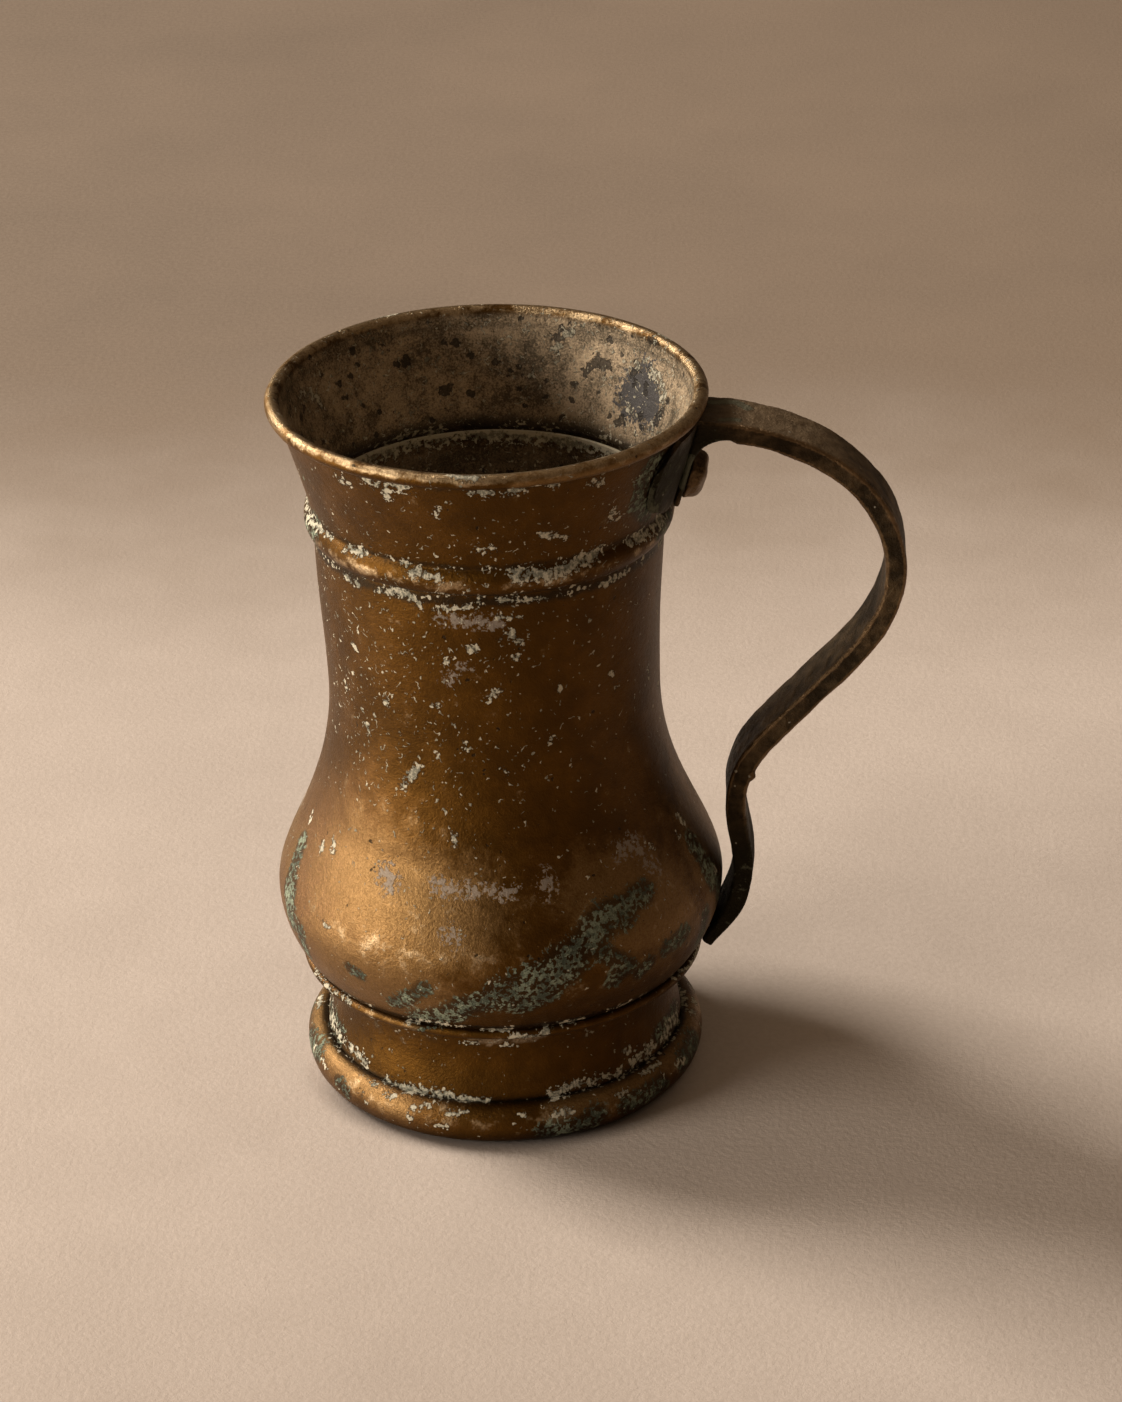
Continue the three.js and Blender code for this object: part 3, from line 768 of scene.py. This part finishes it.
def paint_marks(piece):
    """Every mark of the piece as attributes, and where it is worn, grimy, flecked or tinned, and where
    sheen, highlights and shade are painted.
    """
    places = vectors_of(piece)
    x = (places[:, 0] - CUP_AXIS.x) / MM
    y = places[:, 1] / MM
    z = places[:, 2] / MM
    radius = np.hypot(x, y)
    azimuth = np.degrees(np.arctan2(y, x))
    facing = vectors_of(piece, "normal")
    inner = facing[:, 0] * x + facing[:, 1] * y < 0
    wear_and_highlight = np.zeros(len(z))
    crease = np.zeros(len(z))
    ledge = np.zeros(len(z))
    tin = inner.astype(float)
    if piece == mouth_collar:
        rim = 0.72 * np.clip((z - 149.2) / 1.3, 0, 1)
        wear_and_highlight = np.maximum(rim, 0.55 * bump_at(radius, 37.2, 0.5) * bump_at(z, 124.9, 1.8))
        crease = np.maximum(0.8 * bump_at(z, 128.6, 1.0), 0.6 * bump_at(z, 147.6, 0.9))
        crease = np.maximum(crease, 0.8 * bump_at(z, 122.6, 0.7))
        # Painted shade in the groove inside the bead
        crease = np.maximum(crease, 0.9 * bump_at(z, 127.5, 3.0) * inner)
        tin *= np.clip((150.4 - z) / 1.0, 0, 1)
    if piece == body_shell:
        wear_and_highlight = 0.2 * bump_at(z, 44, 9) * (1 - bump_at(azimuth, 0, 38))
        # Painted highlight: a bright copper patch on the belly's left front
        wear_and_highlight += 0.25 * bump_at(azimuth, -112, 14) * bump_at(z, 46, 7)
        crease = np.maximum(bump_at(z, 121.0, 1.6), bump_at(z, 28.4, 0.9)) * ~inner
        # Painted shade on the whole inside below the ledge
        crease += 0.6 * inner * (z < 124)
        # The ledge inside the mouth: a painted highlight of bright copper, with no tin
        ledge = np.clip((z - 123.0) / 1.4, 0, 1)
        wear_and_highlight = np.maximum(wear_and_highlight, 0.7 * ledge)
        tin *= 1 - ledge
    if piece == foot_ring:
        inner = radius < np.interp(z, [1, 7.5, 18, 25], [36.9, 36.9, 35.1, 36.2])
        tin = 0.6 * inner
        wear_and_highlight = np.maximum(0.3 * bump_at(radius, 41.6, 0.5) * bump_at(z, 26.4, 0.9),
                          0.35 * bump_at(z, 5.6, 2.4) * np.clip((radius - 38) / 2, 0, 1))
        crease = np.maximum(bump_at(z, 8.0, 1.1) * np.clip((39.5 - radius) / 1.5, 0, 1),
                            bump_at(z, 25.2, 0.7))
        # Painted shadow on the foot's neck under the belly
        crease = np.maximum(crease, 0.4 * bump_at(z, 21, 4))
    if piece == floor_disc:
        inner = z > 28
        tin = np.ones(len(z))
    for name, marks in marks_of.items():
        value = near_marks(places, marks, inner)
        # On the ledge the lime is made whole and cream: real crust that also stands as a painted
        # highlight
        paint(piece, name, np.maximum(value, 1.2 * ledge) if name == "lime" else value)
    left = bump_at(azimuth, -118, 48) + 0.6 * bump_at(azimuth, 95, 60)
    flecks = left * bump_at(z, 98, 26) + 0.35 * bump_at(z, 130, 16) + 0.15 + 0.8 * inner
    joint = bump_at(azimuth, 0, 34) * bump_at(z, 137, 11) + bump_at(azimuth, 0, 12) * bump_at(z, 36, 9)
    # Painted sheen: a lighter brown on the lit left of the belly and of the foot roll
    painted_sheen = bump_at(azimuth, -152, 34) * (0.12 + 0.82 * bump_at(z, 50, 24)) * (z > 27)
    painted_sheen = np.maximum(painted_sheen, 0.45 * bump_at(azimuth, -145, 40) * (z < 8.3))
    paint(piece, "wear_and_highlight", wear_and_highlight)
    paint(piece, "crease", crease)
    paint(piece, "tin", tin)
    paint(piece, "flecks", np.clip(flecks, 0, 1))
    paint(piece, "joint", joint * ~inner)
    paint(piece, "painted_sheen", painted_sheen)


for piece in CUP_PIECES:
    paint_marks(piece)


def paint_edges(piece):
    """How much the strap's edges stand out, for how worn they are."""
    data = piece.data
    mesh = bmesh.new()
    mesh.from_mesh(data)
    bend_at = np.array([
        sum(e.calc_face_angle_signed(0) for e in v.link_edges) / max(len(v.link_edges), 1)
        for v in mesh.verts
    ])
    mesh.free()
    places = vectors_of(piece)
    z = places[:, 2] / MM
    x = (places[:, 0] - CUP_AXIS.x) / MM
    joint = np.maximum(bump_at(z, 138, 9) * (1 - np.clip((x - 45) / 8, 0, 1)), bump_at(z, 40, 18))
    edge = np.clip(bend_at / 0.16, 0, 1) * (1 - 0.8 * joint)
    if piece == upper_rivet:
        joint *= 0.25
        edge = np.maximum(edge, 0.9)
    paint(piece, "joint", joint)
    paint(piece, "edge", edge)
    # Lighter on the faces that look up
    paint(piece, "facing_up", np.clip(vectors_of(piece, "normal")[:, 2] * 2 - 1, 0, 1) * (1 - joint))
    paint(piece, "verdigris", near_marks(places, marks_of["verdigris"], np.zeros(len(z), bool)))


for piece in HANDLE_PIECES:
    paint_edges(piece)


class Finish:
    """One material and the nodes that make it, with its own grains: size, detail and roughness."""

    def __init__(self, name, **grains):
        self.material = bpy.data.materials.new(name)
        self.material.use_nodes = True
        self.tree = self.material.node_tree
        self.tree.nodes.clear()
        self.shader = self.add("ShaderNodeBsdfPrincipled")
        output = self.add("ShaderNodeOutputMaterial")
        self.tree.links.new(self.shader.outputs[0], output.inputs[0])
        self.places = self.add("ShaderNodeTexCoord").outputs["Object"]
        self.grains = {grain: self.grain(*settings) for grain, settings in grains.items()}

    def add(self, kind, **settings):
        node = self.tree.nodes.new(kind)
        for name, value in settings.items():
            setattr(node, name, value)
        return node

    def feed(self, socket, value):
        if isinstance(value, bpy.types.NodeSocket):
            self.tree.links.new(value, socket)
        elif isinstance(value, tuple) and len(value) == 3 and socket.type == "RGBA":
            socket.default_value = (*value, 1)
        else:
            socket.default_value = value

    def mark(self, name):
        return self.add("ShaderNodeAttribute", attribute_name=name).outputs["Fac"]

    def grain(self, size, detail, roughness=0.6):
        """Noise between 0 and 1, with features of about that many millimetres."""
        node = self.add("ShaderNodeTexNoise")
        self.feed(node.inputs["Vector"], self.places)
        self.feed(node.inputs["Scale"], 1 / (size * MM))
        self.feed(node.inputs["Detail"], detail)
        self.feed(node.inputs["Roughness"], roughness)
        return node.outputs["Fac"]

    def shaken(self, size, amount):
        """The places moved about, so that cells lose their even outline."""
        node = self.add("ShaderNodeTexNoise")
        self.feed(node.inputs["Vector"], self.places)
        self.feed(node.inputs["Scale"], 1 / (size * MM))
        centred = self.add("ShaderNodeVectorMath", operation="SUBTRACT")
        self.feed(centred.inputs[0], node.outputs["Color"])
        self.feed(centred.inputs[1], (0.5, 0.5, 0.5))
        moved = self.add("ShaderNodeVectorMath", operation="MULTIPLY_ADD")
        self.feed(moved.inputs[0], centred.outputs[0])
        self.feed(moved.inputs[1], (amount * MM, amount * MM, amount * MM))
        self.feed(moved.inputs[2], self.places)
        return moved.outputs[0]

    def cells(self, size, places):
        """For each cell, the distance from its middle and two chance values."""
        node = self.add("ShaderNodeTexVoronoi")
        self.feed(node.inputs["Vector"], places)
        self.feed(node.inputs["Scale"], 1 / (size * MM))
        chance = self.add("ShaderNodeSeparateColor")
        self.feed(chance.inputs[0], node.outputs["Color"])
        return node.outputs["Distance"], chance.outputs[0], chance.outputs[1]

    def math(self, operation, first, second=0.0, third=0.0):
        node = self.add("ShaderNodeMath", operation=operation)
        self.feed(node.inputs[0], first)
        self.feed(node.inputs[1], second)
        self.feed(node.inputs[2], third)
        return node.outputs[0]

    def between(self, value, low, high, to_low=0.0, to_high=1.0):
        node = self.add("ShaderNodeMapRange", interpolation_type="SMOOTHSTEP")
        for socket, given in zip(node.inputs, (value, low, high, to_low, to_high)):
            self.feed(socket, given)
        return node.outputs[0]

    def mixed(self, share, first, second):
        """Two colours or two numbers mixed."""
        colours = isinstance(first, tuple) or getattr(first, "type", "") == "RGBA"
        node = self.add("ShaderNodeMix", data_type="RGBA" if colours else "FLOAT")
        sockets = node.inputs[6:8] if colours else node.inputs[2:4]
        self.feed(node.inputs[0], share)
        self.feed(sockets[0], first)
        self.feed(sockets[1], second)
        return node.outputs[2 if colours else 0]

    def product(self, *values):
        result = values[0]
        for value in values[1:]:
            result = self.math("MULTIPLY", result, value)
        return result

    def most(self, *values):
        result = values[0]
        for value in values[1:]:
            result = self.math("MAXIMUM", result, value)
        return result

    def sum(self, *weighted):
        result = 0.0
        for value, weight in weighted:
            result = self.math("MULTIPLY_ADD", value, weight, result)
        return result

    def noise(self, **weights):
        """The finish's own grains added up."""
        return self.sum(*((self.grains[name], weight) for name, weight in weights.items()))

    def about(self, grain):
        """Noise about zero."""
        return self.math("SUBTRACT", grain, 0.5)

    def uneven(self, value=0.0, **weights):
        """A value made uneven by the finish's own grains about zero."""
        for name, weight in weights.items():
            value = self.math("MULTIPLY_ADD", self.about(self.grains[name]), weight, value)
        return value

    def ragged(self, mark, edge, soft=0.05, reach=0.5):
        """A mark with a broken edge, from noise about zero, and nothing where there is no mark."""
        broken = self.between(self.sum((mark, 1.0), (edge, 1.0)), reach - soft, reach + soft)
        return self.product(broken, self.between(mark, 0.02, 0.2))

    def flecks(self, size, places, share, least, most, rare):
        """Small grains in some cells, more where the piece is marked as flecked."""
        distance, chance, grown = self.cells(size, places)
        reach = self.between(self.math("POWER", grown, rare), 0.0, 1.0, least, most)
        luck = self.math("SUBTRACT", self.product(self.mark("flecks"), share), chance)
        inside = self.math("SUBTRACT", reach, distance)
        return self.product(self.between(inside, 0.0, 0.05), self.between(luck, 0.0, 0.02))

    def curls(self, size, share, thick=0.03):
        """Short bent chips along the contours of a noise, more where the piece is marked as flecked."""
        line = self.math("ABSOLUTE", self.about(self.grain(size, 1, 0.5)))
        chance = self.sum((self.grain(size * 0.77, 1, 0.5), 1.0), (self.mark("flecks"), share))
        chips = self.between(line, thick * 0.5, thick, 1.0, 0.0)
        return self.product(chips, self.between(chance, 0.7, 0.73))

    def finish(self, colour, metallic, roughness, height):
        self.feed(self.shader.inputs["Base Color"], colour)
        self.feed(self.shader.inputs["Metallic"], metallic)
        self.feed(self.shader.inputs["Roughness"], roughness)
        bump = self.add("ShaderNodeBump")
        self.feed(bump.inputs["Distance"], MM)
        self.feed(bump.inputs["Height"], height)
        self.feed(self.shader.inputs["Normal"], bump.outputs[0])
        return self.material


# Colours of the sheet and of what lies on it, with the painted sheen, highlights and shade
BROWN = (0.105, 0.044, 0.004)
DEEP_BROWN = (0.065, 0.027, 0.002)
# Painted sheen of the lit left side
PAINTED_SHEEN_BROWN = (0.25, 0.135, 0.06)
OCHRE_BROWN = (0.28, 0.16, 0.06)
WORN_AND_HIGHLIGHT_COPPER = (0.46, 0.325, 0.18)
GRIME_AND_SHADE = (0.02, 0.013, 0.006)
SCUFF_GREY = (0.36, 0.31, 0.255)
GREEN = (0.04, 0.05, 0.028)
PALE_GREEN = (0.235, 0.265, 0.175)
LIME_CREAM = (0.56, 0.49, 0.35)
LIME_GREY = (0.2, 0.185, 0.13)
TIN = (0.5, 0.365, 0.225)
TIN_DARK = (0.08, 0.056, 0.029)
STAIN_GREY = (0.065, 0.056, 0.05)

# Colours of the forged handle
FORGED_BLACK = (0.03, 0.02, 0.01)
FORGED_BROWN = (0.12, 0.077, 0.038)
UPWARD_BROWN = (0.26, 0.18, 0.105)
EDGE_COPPER = (0.33, 0.2, 0.1)
JOINT_BLACK = (0.02, 0.016, 0.007)
OLIVE_CRUST = (0.14, 0.14, 0.095)
FLECK_CREAM = (0.4, 0.36, 0.28)

# Colours of the paper that the cup stands on
PAPER = (0.53, 0.435, 0.363)
PAPER_PAINTED_LIGHT = (0.75, 0.628, 0.535)
PAPER_FRONT_SHADE = (0.36, 0.28, 0.22)
PAPER_FIBRE = (0.36, 0.28, 0.21)
BACKDROP = (0.17, 0.122, 0.084)
BACKDROP_LIGHT = (0.27, 0.193, 0.133)
CONTACT_SHADOW_BROWN = (0.03, 0.02, 0.013)


def bare_copper(look):
    """The metal's colour, from its dark ground and painted sheen to its worn places and painted
    highlights, and how far it is worn or highlighted.
    """
    colour = look.mixed(look.between(look.noise(broad=0.6, middle=0.4), 0.38, 0.62), DEEP_BROWN, BROWN)
    # Painted sheen: the lit left side made a lighter brown
    painted_sheen = look.uneven(look.mark("painted_sheen"), broad=0.4, middle=0.3)
    colour = look.mixed(look.between(painted_sheen, 0.0, 1.0), colour, PAINTED_SHEEN_BROWN)
    ochre = look.uneven(look.mark("ochre"), middle=0.9, fine=0.8)
    colour = look.mixed(look.between(ochre, 0.2, 0.8, 0.0, 0.7), colour, OCHRE_BROWN)
    # Rubbed places, with painted highlights on the belly and on the ledge inside the mouth
    wear_and_highlight = look.between(look.uneven(look.mark("wear_and_highlight"), middle=2.4, fine=1.2), 0.35, 0.95)
    colour = look.mixed(wear_and_highlight, colour, WORN_AND_HIGHLIGHT_COPPER)
    specks = look.between(look.noise(dust=0.7, fine=0.3), 0.38, 0.66, 0.0, 0.5)
    return look.mixed(specks, colour, DEEP_BROWN), wear_and_highlight


def tinning(look):
    """The mottled tin on the inside, with its dark stain."""
    share = look.uneven(broad=0.9, middle=0.9, fine=0.9, dust=1.3)
    colour = look.mixed(look.between(share, -0.33, 0.33), TIN_DARK, TIN)
    stain = look.ragged(look.mark("stain"), look.uneven(lumps=1.3, dust=0.7))
    return look.mixed(stain, colour, STAIN_GREY)


def pitting(look, tin, shaken):
    """Pits in some cells, more and larger ones on the tin, and the marked ones."""
    distance, chance, size = look.cells(2.6, shaken)
    reach = look.sum(
        (look.math("POWER", size, 2.0), 0.14), (look.product(tin, size), 0.22),
        (look.uneven(lumps=0.4), 1.0), (1.0, 0.05),
    )
    inside = look.between(look.math("SUBTRACT", reach, distance), 0.0, 0.06)
    lucky = look.between(look.sum((chance, 1.0), (tin, 0.2)), 0.6, 0.62)
    return look.most(look.product(inside, lucky), look.ragged(look.mark("pit"), look.uneven(lumps=1.6)))


def lime_crust(look, mark, crease, tin, shaken):
    """Lime on its marks, in the creases and in scattered grains and chips, and its dark outline."""
    field = look.product(mark, 0.72)
    edge = look.uneven(middle=0.9, lumps=1.7, dust=0.9)
    crease_edge = look.uneven(broad=1.0, middle=1.0, lumps=1.6)
    lime = look.most(
        look.ragged(field, edge, 0.04),
        look.ragged(look.product(crease, 0.28), crease_edge),
        look.flecks(2.3, shaken, 0.4, 0.06, 0.2, 2.0),
        look.flecks(0.95, shaken, 0.3, 0.1, 0.28, 1.0),
        look.curls(1.9, 0.11),
        look.product(tin, look.curls(2.7, 0.09, 0.024)),
    )
    return lime, look.ragged(field, edge, 0.06, 0.36)


def lime_colour(look, mark):
    """Cream to grey, and nearly all cream on the ledge inside the mouth, where the thick crust is also a
    painted highlight.
    """
    # Painted highlight: nearly all cream on the ledge
    thick = look.between(mark, 0.98, 1.15)
    share = look.sum((look.uneven(lumps=1.6, dust=1.0, broad=0.8), 1.0), (mark, -0.08), (thick, 0.35))
    return look.mixed(look.between(share, -0.16, 0.2), LIME_GREY, LIME_CREAM)


def aged_copper():
    look = Finish(
        "aged_copper_sheet",
        broad=(14, 3), middle=(4.5, 4), fine=(1.1, 5, 0.7), dust=(0.4, 3, 0.7), lumps=(1.0, 2, 0.5),
    )
    tin, crease, joint, lime_mark = map(look.mark, ("tin", "crease", "joint", "lime"))
    shaken = look.shaken(0.8, 1.1)

    colour, wear_and_highlight = bare_copper(look)
    colour = look.mixed(tin, colour, tinning(look))
    pits = pitting(look, tin, shaken)
    colour = look.mixed(look.product(pits, 0.85), colour, GRIME_AND_SHADE)
    # Grime in the creases and at the joint, with painted shade inside the cup and under the belly
    dirt_and_shade = look.uneven(look.most(crease, joint), middle=1.4, fine=0.8)
    colour = look.mixed(look.between(dirt_and_shade, 0.25, 1.0, 0.0, 0.85), colour, GRIME_AND_SHADE)

    scuff_edge = look.uneven(middle=1.2, lumps=2.6, dust=1.6)
    scuff = look.ragged(look.product(look.mark("scuff"), 0.75), scuff_edge, 0.12)
    green_edge = look.uneven(middle=1.0, lumps=3.4, dust=1.2)
    green_mark = look.most(look.mark("verdigris"), look.product(joint, 0.4))
    green = look.ragged(look.product(green_mark, 0.7), green_edge, 0.08)
    tarnish = look.between(look.uneven(green_mark, middle=0.9), 0.1, 0.55, 0.0, 0.7)
    lime, outline = lime_crust(look, lime_mark, crease, tin, shaken)

    colour = look.mixed(look.most(tarnish, look.product(outline, 0.6)), colour, GRIME_AND_SHADE)
    colour = look.mixed(look.product(scuff, 0.5), colour, SCUFF_GREY)
    green_share = look.uneven(middle=1.2, fine=1.0, dust=0.8)
    green_colour = look.mixed(look.between(green_share, -0.15, 0.3), GREEN, PALE_GREEN)
    colour = look.mixed(look.product(green, 0.9), colour, green_colour)
    colour = look.mixed(look.product(lime, 0.9), colour, lime_colour(look, lime_mark))

    crust = look.most(lime, green, look.product(scuff, 0.6))
    bare = look.math("SUBTRACT", 1.0, crust)
    metallic = look.product(bare, look.mixed(wear_and_highlight, look.mixed(tin, 0.92, 0.55), 1.0))
    roughness = look.sum(
        (look.noise(fine=0.22, dust=0.16), 1.0), (tin, 0.08), (wear_and_highlight, -0.1), (crust, 0.4), (1.0, 0.28),
    )
    height = look.sum(
        (look.noise(broad=0.15, middle=0.12, fine=0.17, dust=0.1), 1.0),
        (crust, 0.11), (pits, -0.12), (look.product(crust, look.grains["dust"]), 0.1),
    )
    return look.finish(colour, metallic, roughness, height)


def dark_copper():
    look = Finish(
        "dark_forged_copper", broad=(11, 3), middle=(3.2, 4), fine=(0.9, 5, 0.7), dust=(0.25, 3, 0.7),
    )
    look.feed(look.shader.inputs["Specular IOR Level"], 0.08)
    joint_mark = look.mark("joint")

    ground = look.between(look.noise(broad=0.5, middle=0.5), 0.42, 0.66)
    colour = look.mixed(ground, FORGED_BLACK, FORGED_BROWN)
    # Lighter brown on the faces that look up
    facing_up = look.uneven(look.mark("facing_up"), middle=0.8, fine=0.8)
    colour = look.mixed(look.between(facing_up, 0.0, 1.0, 0.0, 0.8), colour, UPWARD_BROWN)
    edge_sum = look.sum((look.mark("edge"), 0.8), (look.noise(middle=0.7, fine=0.8), 1.0))
    edge = look.between(edge_sum, 1.0, 1.5)
    colour = look.mixed(look.product(edge, 0.4), colour, EDGE_COPPER)
    joint = look.between(look.uneven(joint_mark, middle=1.2), 0.2, 0.8)
    colour = look.mixed(look.product(joint, 0.92), colour, JOINT_BLACK)

    green_mark = look.most(look.mark("verdigris"), look.product(joint_mark, 0.35))
    green = look.ragged(green_mark, look.uneven(middle=1.0, fine=1.2), 0.1)
    colour = look.mixed(look.product(green, 0.8), colour, OLIVE_CRUST)
    distance, chance = look.cells(2.8, look.shaken(1.0, 0.5))[:2]
    flecks = look.product(look.between(distance, 0.07, 0.13, 1.0, 0.0), look.between(chance, 0.78, 0.8))
    colour = look.mixed(flecks, colour, FLECK_CREAM)

    crust = look.most(green, flecks)
    clear = look.math("SUBTRACT", 1.0, look.most(crust, look.product(joint, 0.8)))
    metallic = look.product(clear, look.mixed(edge, 0.45, 1.0))
    roughness = look.sum(
        (look.noise(fine=0.25, dust=0.15), 1.0), (edge, -0.1), (crust, 0.3), (joint, 0.2), (1.0, 0.3),
    )
    height = look.sum(
        (look.noise(broad=0.8, middle=1.0, fine=0.35, dust=0.05), 1.0), (crust, 0.1),
    )
    return look.finish(colour, metallic, roughness, height)


def pale_paper():
    """Mottled paper, dark behind the cup, painted lighter towards the right, with painted shade at its
    front and a painted contact shadow where the foot stands.
    """
    look = Finish("pale_paper", cloudy=(90, 4), blotches=(28, 5, 0.6), fibre=(1.4, 4, 0.7))
    parts = look.add("ShaderNodeSeparateXYZ")
    look.feed(parts.inputs[0], look.places)
    x, y = parts.outputs[0], parts.outputs[1]

    # Painted light: the paper brighter towards the right, with its own mottling
    across = look.sum(
        (look.between(x, -0.16, 0.34), 0.95), (look.uneven(cloudy=0.4, blotches=0.6), 1.0), (1.0, 0.03),
    )
    pale = look.mixed(across, PAPER, PAPER_PAINTED_LIGHT)
    backdrop_share = look.uneven(look.between(x, -0.4, 0.3), cloudy=0.9)
    backdrop = look.mixed(backdrop_share, BACKDROP, BACKDROP_LIGHT)
    behind = look.between(look.uneven(y, cloudy=0.16), 0.13, 0.38)
    colour = look.mixed(behind, pale, backdrop)
    # Painted shade: the paper darker at its front left
    front = look.product(look.between(y, -0.3, 0.0, 0.65, 0.0), look.between(x, -0.02, 0.14, 1.0, 0.0))
    colour = look.mixed(front, colour, PAPER_FRONT_SHADE)
    fibres = look.between(look.grains["fibre"], 0.3, 0.7, 0.0, 0.2)
    colour = look.mixed(fibres, colour, PAPER_FIBRE)

    # Painted contact shadow: dark brown at the front of the foot
    from_axis = look.add("ShaderNodeVectorMath", operation="DISTANCE")
    look.feed(from_axis.inputs[0], look.places)
    look.feed(from_axis.inputs[1], tuple(CUP_AXIS))
    by_foot = look.between(from_axis.outputs["Value"], 0.0395, 0.0465, 0.75, 0.0)
    painted_contact_shadow = look.product(by_foot, look.between(y, -0.034, -0.004, 1.0, 0.0))
    colour = look.mixed(painted_contact_shadow, colour, CONTACT_SHADOW_BROWN)
    return look.finish(colour, 0.0, 0.9, look.noise(fibre=0.14))


sheet_finish = aged_copper()
forged_finish = dark_copper()
for piece in CUP_PIECES:
    piece.data.materials.append(sheet_finish)
for piece in HANDLE_PIECES:
    piece.data.materials.append(forged_finish)
rim_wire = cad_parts["rim_wire"]
rim_wire.data.materials.clear()
rim_wire.data.materials.append(forged_finish)

# Studio, in metres
FLOOR_HALF = 4.0
FLOOR_DROP = 0.0002
LAMPS_FACE = 0.07
LAMP_COLOUR = (1.0, 0.94, 0.86)
SKY_COLOUR = (0.46, 0.345, 0.24, 1)
HORIZON_STRENGTH = 0.1
OVERHEAD_STRENGTH = 0.52


def studio_floor():
    mesh = bmesh.new()
    bmesh.ops.create_grid(mesh, x_segments=2, y_segments=2, size=FLOOR_HALF)
    data = bpy.data.meshes.new("studio_floor")
    mesh.to_mesh(data)
    mesh.free()
    floor = bpy.data.objects.new("studio_floor", data)
    bpy.context.scene.collection.objects.link(floor)
    floor.location.z = -FLOOR_DROP
    data.materials.append(pale_paper())


def studio_sky():
    """Warm light from overhead that fades towards the horizon."""
    world = bpy.data.worlds.new("studio")
    bpy.context.scene.world = world
    world.use_nodes = True
    nodes, links = world.node_tree.nodes, world.node_tree.links
    background = nodes["Background"]
    background.inputs["Color"].default_value = SKY_COLOUR
    sky = nodes.new("ShaderNodeTexCoord")
    height = nodes.new("ShaderNodeSeparateXYZ")
    strength = nodes.new("ShaderNodeMapRange")
    links.new(sky.outputs["Generated"], height.inputs[0])
    links.new(height.outputs["Z"], strength.inputs["Value"])
    strength.inputs["To Min"].default_value = HORIZON_STRENGTH
    strength.inputs["To Max"].default_value = OVERHEAD_STRENGTH
    links.new(strength.outputs[0], background.inputs["Strength"])


def softbox(name, azimuth, elevation, distance, size, power):
    """A soft lamp that faces the middle of the cup."""
    light = bpy.data.lights.new(name, "AREA")
    light.shape = "RECTANGLE"
    light.size, light.size_y = size
    light.energy = power
    light.color = LAMP_COLOUR
    lamp = bpy.data.objects.new(name, light)
    bpy.context.scene.collection.objects.link(lamp)
    around, above = math.radians(azimuth), math.radians(elevation)
    level = math.cos(above)
    out = Vector((math.cos(around) * level, math.sin(around) * level, math.sin(above)))
    lamp.location = CUP_AXIS + Vector((0, 0, LAMPS_FACE)) + out * distance
    lamp.rotation_mode = "QUATERNION"
    lamp.rotation_quaternion = out.to_track_quat("Z", "Y")


studio_floor()
studio_sky()
softbox("key_softbox", 154, 35, 1.9, (0.7, 0.7), 47.0)
softbox("side_softbox", -156, 9, 0.9, (0.45, 0.4), 9.0)
bpy.context.scene.view_settings.view_transform = "Standard"
